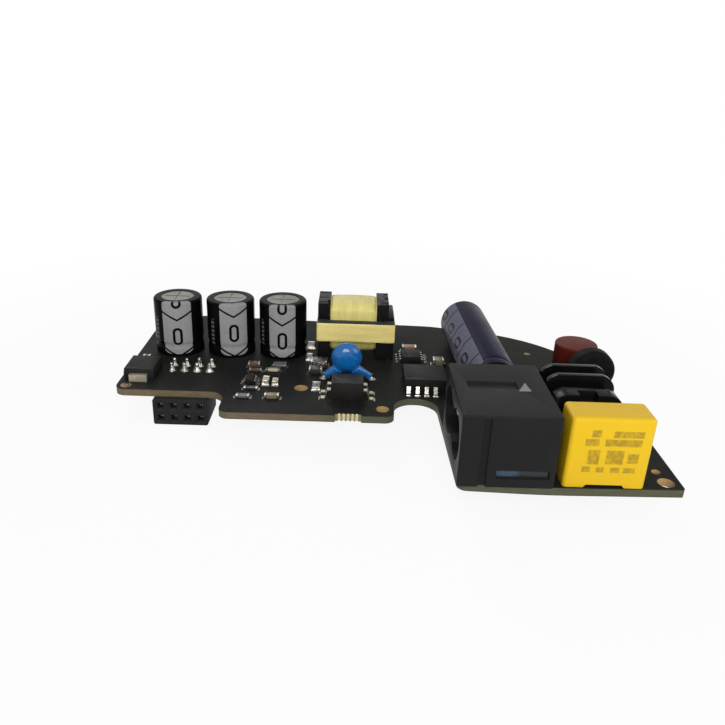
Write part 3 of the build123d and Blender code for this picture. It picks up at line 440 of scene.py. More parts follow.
# Circuit board: dark mask on both faces, glass-fibre edges, tan hole walls, pale break-off bites
boardLook = {
    # the mask's pale edge colour is partly a painted highlight line along the board's edges
    "mask": {"colour": tint(19, 20, 22), "drift": tint(27, 28, 27), "roughness": (0.34, 0.52), "specular": 0.02,
             "broadScale": 60.0, "bump": 0.25, "dust": 0.04, "wear": 0.2, "wornColour": tint(60, 57, 48)},
    "edge": {"colour": tint(112, 95, 70), "drift": tint(96, 86, 66), "roughness": (0.5, 0.7), "specular": 0.3,
             "fineScale": 2500.0, "bump": 0.5},
    "bore": {"colour": tint(188, 154, 98), "drift": tint(142, 116, 74), "roughness": (0.35, 0.55), "bump": 0.5},
    "bites": {"colour": tint(134, 130, 102), "drift": tint(104, 100, 78), "roughness": (0.55, 0.75),
              "fineScale": 2200.0, "bump": 0.8, "specular": 0.2},
    "fresh": {"colour": tint(206, 199, 162), "drift": tint(180, 172, 136), "roughness": (0.55, 0.75),
              "fineScale": 2200.0, "bump": 0.8, "specular": 0.2},
    "greenFrom": -0.012, "greenTo": 0.03,  # where the mask turns from cool to green along X
    "edgeFrom": -0.013, "edgeTo": -0.003,  # where the laminate turns from tan to green
    "tab": ((-6.6, -1.4), (-13.75, -13.0)), "tabBack": -13.48,
}


def paintMask(tree, place, colour, rough, height):  # copper under the mask shows as faint raised areas
    x = axes(tree, place)["X"]
    right = remap(tree, x, boardLook["greenFrom"], boardLook["greenTo"], smooth=True)
    colour = mixColour(tree, calc(tree, "MULTIPLY", right, 0.75), colour, tint(31, 33, 27))
    pour = tree.nodes.new("ShaderNodeTexVoronoi")
    pour.distance = "CHEBYCHEV"
    pour.inputs["Scale"].default_value = 140.0
    feed(tree, pour.inputs["Vector"], place)
    shade = axes(tree, pour.outputs["Color"])["X"]
    copper = calc(tree, "GREATER_THAN", shade, 0.45)
    track = tree.nodes.new("ShaderNodeTexWave")
    track.wave_profile = "SAW"
    track.inputs["Scale"].default_value = 260.0
    track.inputs["Distortion"].default_value = 0.0
    feed(tree, track.inputs["Vector"], place)
    lines = calc(tree, "MULTIPLY", calc(tree, "LESS_THAN", track.outputs["Fac"], 0.5),
                 calc(tree, "LESS_THAN", shade, 0.2))
    raised = calc(tree, "MAXIMUM", copper, lines)
    vias = tree.nodes.new("ShaderNodeTexVoronoi")
    vias.inputs["Scale"].default_value = 260.0
    feed(tree, vias.inputs["Vector"], place)
    dots = calc(tree, "MULTIPLY", calc(tree, "LESS_THAN", vias.outputs["Distance"], 0.055), copper)
    colour = mixColour(tree, calc(tree, "MULTIPLY", raised, 0.35), colour, tint(34, 35, 33))
    colour = mixColour(tree, calc(tree, "MULTIPLY", dots, 0.5), colour, tint(58, 56, 48))
    height = calc(tree, "ADD", calc(tree, "MULTIPLY", height, 0.25), calc(tree, "MULTIPLY", raised, 1.2))
    return colour, rough, height


def paintEdge(tree, place, colour, rough, height):  # glass cloth in layers
    spots = axes(tree, place)
    right = remap(tree, spots["X"], boardLook["edgeFrom"], boardLook["edgeTo"], smooth=True)
    colour = mixColour(tree, right, colour, mixColour(tree, noiseField(tree, place, 700.0),
                                                     tint(84, 86, 64), tint(70, 74, 56)))
    layers = noiseField(tree, place, 1.0, 2.0, 0.5, stretch=(500.0, 500.0, 6500.0))
    colour = mixColour(tree, remap(tree, layers, 0.35, 0.7, 0.0, 0.55), colour, tint(62, 54, 40))
    top = remap(tree, spots["Z"], (boardTop - 0.12) / 1000, (boardTop - 0.05) / 1000)
    bottom = remap(tree, spots["Z"], (boardUnder + 0.12) / 1000, (boardUnder + 0.05) / 1000)
    colour = mixColour(tree, calc(tree, "MULTIPLY", calc(tree, "MAXIMUM", top, bottom), 0.7), colour,
                       tint(34, 33, 30))
    return colour, rough, calc(tree, "ADD", height, layers)


maskFinish = makeFinish("boardMask", boardLook["mask"], paintMask)
edgeFinish = makeFinish("boardEdge", boardLook["edge"], paintEdge)
boreFinish = makeFinish("boardBore", boardLook["bore"])
biteFinish = makeFinish("boardBites", boardLook["bites"])
freshFinish = makeFinish("boardFresh", boardLook["fresh"])


def makeBoard():
    work = mergedCopy("circuit_board", 0.5)
    walls = [face for face in work.faces if abs(face.normal.z) < 0.5]
    unseen = set(walls)
    outline = []
    while unseen:  # the wall with the widest reach is the outline, the others are holes
        stack = [unseen.pop()]
        group = []
        while stack:
            face = stack.pop()
            group.append(face)
            for edge in face.edges:
                for other in edge.link_faces:
                    if other in unseen:
                        unseen.discard(other)
                        stack.append(other)
        for face in group:
            face.material_index = 2
        if len(group) > len(outline):
            xs = [vert.co.x for face in group for vert in face.verts]
            if max(xs) - min(xs) > 20:
                outline = group
    (left, right), (front, back) = boardLook["tab"]
    for face in outline:
        middle = face.calc_center_median()
        broken = left < middle.x < right and front < middle.y < back
        face.material_index = (4 if middle.y > boardLook["tabBack"] else 3) if broken else 1
    piece = newObject("circuitBoard", meshFrom(work, "circuitBoard"), maskFinish, edgeFinish, boreFinish,
                      biteFinish, freshFinish)
    return settle(piece, "board_laminate", "circuit_board", sharp=30.0)


makeBoard()

ringLook = {"colour": tint(104, 82, 54), "drift": tint(70, 57, 40), "roughness": (0.3, 0.5), "metallic": 0.6,
            "bump": 0.5, "wear": 0.2}
ringFinish = makeFinish("goldRing", ringLook)
ringPlaces = {  # hole centre x and y, inner and outer radius of its bare copper ring
    "corner": (-46.93, -4.09, 0.42, 1.05), "via": (35.5, 18.2, 0.5, 0.7)}


def makeRings():
    work = bmesh.new()
    for x, y, inner, outer in ringPlaces.values():
        for base, way in ((boardTop, 1), (boardUnder, -1)):
            profile = [(inner, 0.0), (inner, 0.035 * way), (outer - 0.03, 0.035 * way), (outer, 0.0)]
            if way < 0:
                profile.reverse()
            ring, _ = lathe("ring", profile, 40)
            ring.transform(Matrix.Translation((x, y, base)))
            work.from_mesh(ring)
            bpy.data.meshes.remove(ring)
    piece = newObject("holeRings", meshFrom(work, "holeRings"), ringFinish)
    return settle(piece, "board_laminate")


makeRings()
print("board dressed")


# Metals
tinLook = {"colour": tint(190, 188, 178), "drift": tint(126, 123, 113), "roughness": (0.22, 0.4), "metallic": 1.0,
           "bump": 0.5, "broadScale": 800.0, "dust": 0.05}
solderLook = {"colour": tint(186, 184, 176), "drift": tint(62, 61, 56), "roughness": (0.14, 0.34),
              "metallic": 1.0, "broadScale": 1100.0, "bump": 0.9, "bumpDepth": 0.00009}
canLook = {"colour": tint(92, 90, 83), "drift": tint(74, 72, 66), "roughness": (0.3, 0.46), "metallic": 1.0,
           "broadScale": 300.0, "bump": 0.35, "dust": 0.05}
contactLook = {"colour": tint(186, 182, 170), "drift": tint(150, 146, 134), "roughness": (0.24, 0.4),
               "metallic": 1.0, "bump": 0.3}


def paintCan(tree, place, colour, rough, height):  # drawn aluminium: fine brushing
    drawn = noiseField(tree, place, 1.0, 2.0, 0.5, stretch=(9000.0, 900.0, 900.0))
    colour = mixColour(tree, remap(tree, drawn, 0.4, 0.7, 0.0, 0.35), colour, tint(66, 64, 58))
    return colour, rough, calc(tree, "ADD", height, drawn)


tinFinish = makeFinish("tinnedLead", tinLook)
solderFinish = makeFinish("brightSolder", solderLook)
canFinish = makeFinish("canAluminium", canLook, paintCan)
contactFinish = makeFinish("platedContact", contactLook)


def repaint(node, material):
    slots = nodes[node].material_slots
    for slot in slots:
        slot.material = material
    if not slots:
        nodes[node].data.materials.append(material)


repaint("diode_terminals", makeFinish("diodePlate", dict(tinLook, colour=tint(206, 196, 172),
                                                         drift=tint(176, 166, 144), metallic=0.6)))
for name in nodes:
    if name.endswith(("_leads", "_pins")):
        repaint(name, tinFinish)
    if name.endswith("_can"):
        repaint(name, canFinish)
for name in ("socket_contacts", "inlet_pins"):
    repaint(name, contactFinish)


# Solder: a pulled cone on every lead, placed from the CAD rings
def coneShape():
    profile = [(0.0, -0.03), (0.98, -0.03), (1.0, 0.02), (0.9, 0.09), (0.72, 0.22), (0.56, 0.42), (0.45, 0.62),
               (0.4, 0.8), (0.36, 0.93), (0.24, 1.02), (0.0, 1.06)]
    mesh, _ = lathe("coneShape", profile, 22, closed=False)
    return mesh


def pointsObject(name, places):  # places: position, turn and size
    mesh = bpy.data.meshes.new(name)
    mesh.from_pydata([spot for spot, _, _ in places], [], [])
    for label, index in (("turn", 1), ("size", 2)):
        layer = mesh.attributes.new(label, "FLOAT_VECTOR", "POINT")
        for number, place in enumerate(places):
            layer.data[number].vector = place[index]
    return newObject(name, mesh)


def placeShapes(name, shapeMesh, places, material, slot, *replaced, variation=0.06, seed=3, sharp=40.0):
    shape = newObject("shape", shapeMesh)
    piece = pointsObject(name, places)
    addTree(piece, placedShapes, {"Shape": shape, "Variation": variation, "Seed": seed, "Finish": material})
    bake(piece)
    bpy.data.objects.remove(shape)
    for label in ("turn", "size"):
        layer = piece.data.attributes.get(label)
        if layer:
            piece.data.attributes.remove(layer)
    return settle(piece, slot, *replaced, sharp=sharp)


jointLook = {"topRise": 1.62, "topWidth": 0.92, "underRise": 0.95, "padRise": 0.55}


def makeSolder():
    places = []
    for low, high in loosePieces("solder_joints"):
        middle = (low + high) / 2
        radius = (high.x - low.x) / 2
        above = middle.z > boardTop
        if above and high.z - boardTop > 0.6:  # socket pins, soldered on the component side
            width = jointLook["topWidth"]
            places.append(((middle.x, middle.y, boardTop), (0, 0, middle.x * 7), (width, width, jointLook["topRise"])))
        elif above:
            places.append(((middle.x, middle.y, boardTop), (0, 0, middle.x), (1.05, 0.95, jointLook["padRise"])))
        else:
            places.append(((middle.x, middle.y, boardUnder), (math.pi, 0, middle.y),
                           (radius * 1.12, radius * 1.12, jointLook["underRise"])))
    return placeShapes("solderJoints", coneShape(), places, solderFinish, "solder", "solder_joints")


makeSolder()
print("metals and solder done")


# Socket strip and inlet
socketLook = {"colour": tint(29, 29, 30), "drift": tint(37, 36, 35), "roughness": (0.5, 0.68), "specular": 0.08,
              "bump": 0.45, "dust": 0.04, "wear": 0.3, "wornColour": tint(62, 61, 58)}
inletLook = {"colour": tint(30, 30, 31), "drift": tint(36, 36, 36), "roughness": (0.42, 0.58), "specular": 0.05,
             "broadScale": 90.0, "fineScale": 6500.0, "bump": 0.3, "dust": 0.03, "wear": 0.2,
             "wornColour": tint(58, 58, 58)}
windowLook = {"colour": tint(40, 66, 86), "drift": tint(66, 84, 98), "roughness": (0.12, 0.3), "specular": 0.3,
              "broadScale": 420.0, "coat": 0.15, "bump": 0.3}
markLook = {"colour": tint(128, 128, 126), "drift": tint(104, 104, 102), "roughness": (0.5, 0.65), "bump": 0.4}


def paintWindow(tree, place, colour, rough, height):  # the right part is seen through darker plastic
    dark = remap(tree, axes(tree, place)["X"], 0.0217, 0.0229, smooth=True)
    return mixColour(tree, dark, colour, tint(38, 44, 48)), rough, height


socketFinish = makeFinish("socketPlastic", socketLook)
inletFinish = makeFinish("inletPlastic", inletLook)
windowFinish = makeFinish("inletWindow", windowLook, paintWindow)
# the mouth's inner walls are painted much darker: painted shade in the recess
mouthShadeFinish = makeFinish("inletMouthShade", dict(inletLook, colour=tint(15, 15, 16), drift=tint(19, 19, 20), wear=0.0))
markFinish = makeFinish("inletMark", markLook)

dressed("socketHousing", "socket_housing", socketFinish, "socket_plastic", edge=0.06)

inletShape = {"windowX": (18.8, 27.0), "windowZ": (8.15, 9.65), "edge": 0.1,
              "mouth": ((13.0, 23.2), (-34.9, -17.7), (8.4, 17.2)),
              "mark": ((22.9, -27.2), (24.95, -27.1), (24.5, -24.0)), "markRise": 0.06}


def pickInlet(face):
    middle = face.calc_center_median()
    x0, x1 = inletShape["windowX"]
    z0, z1 = inletShape["windowZ"]
    inside = x0 < middle.x < x1 and z0 < middle.z < z1
    if inside and -35.6 < middle.y < -35.0 and abs(face.normal.y) > 0.9:
        return 1
    # faces inside the mouth take the darker finish, painted shade of the recess
    (left, right), (front, back), (low, high) = inletShape["mouth"]
    within = left < middle.x < right and front < middle.y < back and low < middle.z < high
    return 2 if within and (abs(face.normal.x) < 0.5 or middle.x > right - 1) else 0


dressed("inletHousing", "inlet_housing", [inletFinish, windowFinish, mouthShadeFinish], "inlet_plastic", edge=inletShape["edge"],
        pick=pickInlet)


def makeInletMark():  # a plain raised triangle on the inlet's top
    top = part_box("inlet_housing")[1].z * 1000
    work = bmesh.new()
    low = [work.verts.new((x, y, top - 0.02)) for x, y in inletShape["mark"]]
    high = [work.verts.new((x, y, top + inletShape["markRise"])) for x, y in inletShape["mark"]]
    work.faces.new(high)
    for index in range(3):
        after = (index + 1) % 3
        work.faces.new((low[index], low[after], high[after], high[index]))
    bmesh.ops.recalc_face_normals(work, faces=work.faces)
    piece = newObject("inletMark", meshFrom(work, "inletMark"), markFinish)
    addBevel(piece, 0.03)
    return settle(piece, "inlet_plastic")


makeInletMark()
print("socket strip and inlet done")


# Round capacitors: a shrunk printed sleeve over each can
def buildSleevePrint():
    # stripe, chevron and ring masks from the distance round and along the sleeve, in millimetres
    group, given, out = newGroup("sleevePrint", [
        ("Around", "Float", 0.0), ("Along", "Float", 0.0), ("Half Width", "Float", 3.3),
        ("Foot", "Float", 1.0), ("Top", "Float", 10.9), ("Period", "Float", 9.1), ("Ring Place", "Float", 4.0),
        ("Chevron Place", "Float", 7.7), ("Chevron Slope", "Float", 0.45)],
        [("Stripe", "Float"), ("Lines", "Float")])
    across = calc(group, "ABSOLUTE", given["Around"])
    along = given["Along"]
    corner = calc(group, "POWER", calc(group, "DIVIDE", across, given["Half Width"]), 5.0)
    low = calc(group, "ADD", given["Foot"], calc(group, "MULTIPLY", corner, 0.9))
    high = calc(group, "SUBTRACT", given["Top"], calc(group, "MULTIPLY", corner, 0.9))
    inside = calc(group, "MULTIPLY", remap(group, calc(group, "SUBTRACT", along, low), 0.0, 0.06),
                  remap(group, calc(group, "SUBTRACT", high, along), 0.0, 0.06))
    side = remap(group, calc(group, "SUBTRACT", given["Half Width"], across), 0.0, 0.06)
    stripe = calc(group, "MULTIPLY", inside, side)

    def folded(shift):  # the nearest repeat of a mark at this place
        moved = calc(group, "SUBTRACT", shift, calc(group, "MULTIPLY", given["Period"], 0.5))
        local = calc(group, "WRAP", calc(group, "SUBTRACT", along, moved), given["Period"], 0.0)
        return calc(group, "SUBTRACT", local, calc(group, "MULTIPLY", given["Period"], 0.5))

    rise = calc(group, "SUBTRACT", folded(given["Chevron Place"]),
                calc(group, "MULTIPLY", across, given["Chevron Slope"]))
    chevron = remap(group, calc(group, "ABSOLUTE", rise), 0.27, 0.18)
    up = calc(group, "MAXIMUM", calc(group, "SUBTRACT", calc(group, "ABSOLUTE", folded(given["Ring Place"])), 0.92),
              0.0)
    reach = calc(group, "SQRT", calc(group, "ADD", calc(group, "MULTIPLY", across, across),
                                     calc(group, "MULTIPLY", up, up)))
    ring = remap(group, calc(group, "ABSOLUTE", calc(group, "SUBTRACT", reach, 0.76)), 0.32, 0.22)
    feed(group, out["Stripe"], stripe)
    feed(group, out["Lines"], calc(group, "MAXIMUM", chevron, ring))
    return group


sleevePrint = buildSleevePrint()


def paintSleeve(look):
    def paint(tree, place, colour, rough, height):
        wrap = tree.nodes.new("ShaderNodeUVMap")
        wrap.uv_map = "wrap"
        spots = axes(tree, wrap.outputs[0])
        around = calc(tree, "MULTIPLY", calc(tree, "SUBTRACT", spots["X"], 0.5), look["girth"])
        along = calc(tree, "SUBTRACT", calc(tree, "MULTIPLY", spots["Y"], look["run"]), look["start"])
        marks = useGroup(tree, sleevePrint, {
            "Around": around, "Along": along, "Half Width": look["halfWidth"], "Foot": look["foot"],
            "Top": look["top"], "Period": look["period"], "Ring Place": look["ring"],
            "Chevron Place": look["chevron"], "Chevron Slope": look["slope"]})
        outer = calc(tree, "LESS_THAN", along, look["top"] + 0.3)
        ink = calc(tree, "MULTIPLY", calc(tree, "MULTIPLY", marks["Stripe"], calc(tree, "SUBTRACT", 1.0,
                                                                               marks["Lines"])), outer)
        worn = remap(tree, noiseField(tree, place, 2400.0, 2.0), 0.25, 0.5, 0.82, 1.0)
        colour = mixColour(tree, calc(tree, "MULTIPLY", ink, worn), colour, look["stripeColour"])
        # a plain column of short bars beside the stripe
        centre = calc(tree, "ABSOLUTE", calc(tree, "SUBTRACT", around, look["barPlace"]))
        bars = calc(tree, "LESS_THAN", centre, look["barHalf"])
        repeat = calc(tree, "FRACT", calc(tree, "DIVIDE", along, look["barPitch"]))
        bars = calc(tree, "MULTIPLY", bars, calc(tree, "LESS_THAN", repeat, look["barFill"]))
        low, high = look["barSpan"]
        bars = calc(tree, "MULTIPLY", bars, calc(tree, "MULTIPLY", calc(tree, "GREATER_THAN", along, low),
                                                 calc(tree, "LESS_THAN", along, high)))
        colour = mixColour(tree, calc(tree, "MULTIPLY", bars, look["barStrength"]), colour, look["barColour"])
        return colour, rough, calc(tree, "ADD", calc(tree, "MULTIPLY", height, 0.4),
                                   calc(tree, "MULTIPLY", ink, 0.3))
    return paint


outputLook = {
    "sleeve": {"colour": tint(7, 7, 8), "drift": tint(11, 11, 12), "roughness": (0.14, 0.24), "specular": 0.02,
               "broadScale": 120.0, "bump": 0.12, "dust": 0.02},
    "radius": 5.0, "height": 12.0, "groove": (2.4, 0.95, 0.2), "slope": 0.55, "stripeColour": tint(136, 136, 136),
    "barColour": tint(120, 120, 122), "barPlace": -4.9, "barHalf": 0.42, "barPitch": 0.92, "barFill": 0.62,
    "barStrength": 0.5, "barSpan": (2.6, 8.4),
    # ring and chevron heights, half width of the stripe, its turn from the front and how often it repeats
    "marks": {1: (4.6, 8.2, 3.15, -6.0, 8.1), 2: (5.7, 9.3, 3.0, 5.6, 8.8), 3: (4.3, 7.85, 2.9, -2.4, 7.8)},
}
reservoirLook = {
    "sleeve": {"colour": tint(20, 18, 46), "drift": tint(16, 15, 37), "roughness": (0.22, 0.36), "specular": 0.015,
               "broadScale": 120.0, "bump": 0.15, "dust": 0.03},
    "radius": 4.95, "height": 35.0, "groove": (2.4, 0.95, 0.12), "slope": 0.5, "stripeColour": tint(98, 98, 114),
    "barColour": tint(70, 72, 96), "barPlace": 7.3, "barHalf": 1.0, "barPitch": 1.45, "barFill": 0.55,
    "barStrength": 0.3, "barSpan": (4.0, 31.0), "marks": (8.0, 12.1, 3.3, 0.0, 8.2),
    "origin": (22.7, -10.6, 11.75), "turn": 2.15,
}


def sleeveProfile(radius, height, groove, lip=1.5, wall=0.12, curl=0.55):
    middle, half, depth = groove
    dip = [(radius - depth * (0.5 + 0.5 * math.cos(math.pi * step / 8)), middle + half * step / 8)
           for step in range(-8, 9)]
    outer = [(radius, 0.15), (radius, 1.0)] + dip + [(radius, height * 0.35), (radius, height * 0.6)]
    outer += arc(radius - curl, height - curl, curl, 0, 90, 8)
    edge = radius - wall - lip
    inner = [(edge + 0.05, height + 0.015), (edge - 0.01, height - 0.04), (edge, height - wall)]
    inner += arc(radius - curl, height - curl, curl - wall, 90, 0, 6)
    inner += [(radius - wall, middle + half + 0.2), (radius - wall - depth, middle),
              (radius - wall, middle - half - 0.2), (radius - wall, 0.15)]
    return outer + inner


def makeSleeve(name, look, marks, facing, matrix, slot, node):
    profile = sleeveProfile(look["radius"], look["height"], look["groove"])
    mesh, run = lathe(name, profile, 112, facing=facing + marks[3])
    for vert in mesh.vertices:  # the cut lip is a little uneven
        if vert.co.z > look["height"] - 0.13 and math.hypot(vert.co.x, vert.co.y) < look["radius"] - 1.35:
            sway = noise.noise(Vector((vert.co.x * 0.45, vert.co.y * 0.45, facing)))
            vert.co.x *= 1 + 0.035 * sway
            vert.co.y *= 1 + 0.035 * sway
    spec = dict(look)
    spec.update(girth=2 * math.pi * look["radius"], run=run, start=-0.15, ring=marks[0], chevron=marks[1],
                foot=0.6, top=look["height"] + 0.75, halfWidth=marks[2], period=marks[4])
    material = makeFinish(name + "Film", look["sleeve"], paintSleeve(spec))
    mesh.transform(matrix)
    piece = newObject(name, mesh, material)
    return settle(piece, slot, node, sharp=30.0)


cameraLook = {"place": (-4.2, -129.9, 67.51), "turn": 1.2, "pitch": 23.421, "roll": -2.305, "lens": 35.763}

for number, marks in outputLook["marks"].items():
    low, high = (corner * 1000 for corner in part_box(f"output_capacitor_{number}_sleeve"))
    middle = (low + high) / 2
    eye = Vector(cameraLook["place"])
    facing = math.degrees(math.atan2(eye.y - middle.y, eye.x - middle.x))
    makeSleeve(f"outputSleeve{number}", outputLook, marks, facing,
               Matrix.Translation((middle.x, middle.y, boardTop)), "black_sleeve",
               f"output_capacitor_{number}_sleeve")

turn = math.radians(reservoirLook["turn"])
lying = Matrix((
    (math.cos(turn), 0, -math.sin(turn), reservoirLook["origin"][0]),
    (math.sin(turn), 0, math.cos(turn), reservoirLook["origin"][1]),
    (0, -1, 0, reservoirLook["origin"][2]),
    (0, 0, 0, 1)))
makeSleeve("reservoirSleeve", reservoirLook, reservoirLook["marks"], -154.0, lying, "indigo_sleeve",
           "reservoir_capacitor_sleeve")
rubberLook = {"colour": tint(26, 26, 27), "drift": tint(36, 35, 35), "roughness": (0.6, 0.8), "bump": 0.6}
rubberFinish = makeFinish("bungRubber", rubberLook)
for name in nodes:
    if name.endswith("_bung"):
        repaint(name, rubberFinish)
print("round capacitors done")


# Film capacitor
# the case's pale yellow edge colour is partly a painted highlight along its edges
filmLook = {"colour": tint(222, 182, 27), "drift": tint(216, 175, 24), "roughness": (0.34, 0.46),
            "specular": 0.2, "broadScale": 70.0, "fineScale": 5200.0, "bump": 0.25, "dust": 0.03, "wear": 0.25,
            "wornColour": tint(244, 208, 90)}
pottingLook = {"colour": tint(196, 160, 60), "drift": tint(170, 138, 54), "roughness": (0.35, 0.5), "bump": 0.5}
filmPrint = {  # plain bars on the front face: low and high corner in X and Z
    "ink": tint(146, 118, 34), "front": -0.03545,
    "bars": [((32.6, 15.6), (34.0, 16.8)), ((35.9, 15.6), (40.5, 16.7)), ((31.8, 14.1), (33.9, 15.3)),
             ((34.8, 14.1), (40.4, 15.3)), ((32.5, 10.9), (34.3, 13.4)), ((35.3, 11.0), (38.0, 13.4)),
             ((38.6, 11.2), (40.3, 12.9)), ((31.9, 9.5), (33.2, 10.5)), ((34.1, 9.5), (35.3, 10.4)),
             ((36.3, 9.5), (37.7, 10.4)), ((38.3, 9.5), (40.1, 10.4))]}


def paintFilm(tree, place, colour, rough, height):
    spots = axes(tree, place)
    front = calc(tree, "LESS_THAN", spots["Y"], filmPrint["front"])
    cover = None
    for low, high in filmPrint["bars"]:
        mask = front
        for axis, start, end in (("X", low[0], high[0]), ("Z", low[1], high[1])):
            rising = remap(tree, spots[axis], (start - 0.08) / 1000, (start + 0.08) / 1000)
            falling = remap(tree, spots[axis], (end + 0.08) / 1000, (end - 0.08) / 1000)
            mask = calc(tree, "MULTIPLY", mask, calc(tree, "MULTIPLY", rising, falling))
        cover = mask if cover is None else calc(tree, "MAXIMUM", cover, mask)
    etched = remap(tree, noiseField(tree, place, 1500.0, 1.0), 0.35, 0.6, 0.45, 0.8)
    return mixColour(tree, calc(tree, "MULTIPLY", cover, etched), colour, filmPrint["ink"]), rough, height


filmFinish = makeFinish("filmCase", filmLook, paintFilm)
dressed("filmCapacitorCase", "film_capacitor_case", filmFinish, "yellow_case", edge=0.12)
repaint("film_capacitor_potting", makeFinish("filmPotting", pottingLook))
print("film capacitor done")


# Transformer: former, ferrite, tape round the core, taped winding
formerLook = {"colour": tint(14, 14, 15), "drift": tint(24, 24, 25), "roughness": (0.24, 0.4), "specular": 0.04,
              "broadScale": 200.0, "bump": 0.3, "dust": 0.04, "wear": 0.3, "wornColour": tint(56, 56, 56)}
ferriteLook = {"colour": tint(44, 45, 47), "drift": tint(56, 56, 58), "roughness": (0.5, 0.66), "specular": 0.1,
               "fineScale": 3000.0, "bump": 0.6, "dust": 0.04, "wear": 0.3, "wornColour": tint(84, 84, 86)}
tapeLook = {"colour": tint(226, 210, 136), "drift": tint(214, 197, 122), "roughness": (0.26, 0.42),
            "specular": 0.25, "broadScale": 140.0, "bump": 0.2, "coat": 0.08, "coatRoughness": 0.3, "dust": 0.03}
coilLook = {"colour": tint(222, 210, 130), "drift": tint(206, 194, 118), "roughness": (0.34, 0.5),
            "specular": 0.2, "broadScale": 110.0, "bump": 0.4, "dust": 0.03}


def paintTape(tree, place, colour, rough, height):  # long ripples and a darker cut edge
    ripple = noiseField(tree, place, 1.0, 3.0, 0.55, stretch=(120.0, 120.0, 900.0))
    colour = mixColour(tree, remap(tree, ripple, 0.42, 0.7, 0.0, 0.4), colour, tint(176, 160, 90))
    return colour, rough, calc(tree, "ADD", calc(tree, "MULTIPLY", height, 0.3), calc(tree, "MULTIPLY", ripple, 1.5))


def paintCoil(tree, place, colour, rough, height):  # wire turns press through the tape as fine ribs
    wave = tree.nodes.new("ShaderNodeTexWave")
    wave.inputs["Scale"].default_value = 620.0
    wave.inputs["Distortion"].default_value = 0.6
    wave.inputs["Detail"].default_value = 1.0
    wave.inputs["Detail Scale"].default_value = 0.6
    feed(tree, wave.inputs["Vector"], place)
    long = noiseField(tree, place, 1.0, 3.0, 0.6, stretch=(900.0, 90.0, 90.0))
    colour = mixColour(tree, calc(tree, "MULTIPLY", wave.outputs["Fac"], 0.1), colour, tint(150, 138, 80))
    colour = mixColour(tree, remap(tree, long, 0.4, 0.7, 0.0, 0.4), colour, tint(170, 156, 92))
    height = calc(tree, "ADD", calc(tree, "MULTIPLY", wave.outputs["Fac"], 0.35), calc(tree, "MULTIPLY", long, 1.2))
    return colour, rough, height


formerFinish = makeFinish("blackFormer", formerLook)
ferriteFinish = makeFinish("ferriteCore", ferriteLook)
tapeFinish = makeFinish("coreTape", tapeLook, paintTape)
coilFinish = makeFinish("coilTape", coilLook, paintCoil)

dressed("transformerFormer", "transformer_former", formerFinish, "black_former", edge=0.12)
dressed("transformerCoreLeft", "transformer_core_left", ferriteFinish, "ferrite", edge=0.18)
dressed("transformerCoreRight", "transformer_core_right", ferriteFinish, "ferrite", edge=0.18)

windingShape = {"round": 2.0, "steps": 44, "corner": 9, "flat": 7, "bulge": 0.16, "endStep": 0.16,
                "endWidth": 0.35, "lapDepth": 0.07, "holeHalf": 2.78, "holeHalfZ": 2.68}


def roundedLoop(halfA, halfB, radius, corner, flat):  # points round a rectangle with rounded corners
    points = []
    for signA, signB, start in ((1, 1, 0), (-1, 1, 90), (-1, -1, 180), (1, -1, 270)):
        centre = (signA * (halfA - radius), signB * (halfB - radius))
        points += arc(centre[0], centre[1], radius, start, start + 90, corner)
    full = []
    for first, second in zip(points, points[1:] + points[:1]):
        full.append(first)
        if math.dist(first, second) > radius * 0.6:
            full += [(first[0] + (second[0] - first[0]) * step / flat,
                      first[1] + (second[1] - first[1]) * step / flat) for step in range(1, flat)]
    return full


def skin(work, rings, close):
    for below, above in zip(rings, rings[1:] + (rings[:1] if close else [])):
        for index in range(len(below)):
            after = (index + 1) % len(below)
            work.faces.new((below[index], below[after], above[after], above[index]))


def makeWinding():
    low, high = (corner * 1000 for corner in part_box("transformer_winding"))
    middle = (low + high) / 2
    half = (high - low) / 2
    spec = windingShape
    outline = roundedLoop(half.y, half.z, spec["round"], spec["corner"], spec["flat"])
    hole = roundedLoop(spec["holeHalf"], spec["holeHalfZ"], 0.2, spec["corner"], spec["flat"])
    work = bmesh.new()
    rings = []
    for step in range(spec["steps"] + 1):
        share = step / spec["steps"]
        x = low.x + (high.x - low.x) * share
        fromEnd = min(x - low.x, high.x - x)
        drop = spec["endStep"] if fromEnd < spec["endWidth"] else 0.0
        drop += spec["bulge"] * (2 * share - 1) ** 2
        ring = []
        for number, (y, z) in enumerate(outline):
            lap = spec["lapDepth"] if 0.62 < number / len(outline) < 0.8 else 0.0
            wave = 0.045 * noise.noise(Vector((x * 0.35, y * 0.8, z * 0.8)))
            shrink = 1 - (drop + lap - wave) / math.hypot(y, z)
            ring.append(work.verts.new((x, middle.y + y * shrink, middle.z + z * shrink)))
        rings.append(ring)
    inner = [[work.verts.new((x, middle.y + y, middle.z + z)) for y, z in hole] for x in (high.x, low.x)]
    if len(hole) == len(outline):
        skin(work, rings + inner, True)
    bmesh.ops.recalc_face_normals(work, faces=work.faces)
    piece = newObject("transformerWinding", meshFrom(work, "transformerWinding"), coilFinish)
    return settle(piece, "wound_coil", "transformer_winding", sharp=32.0)


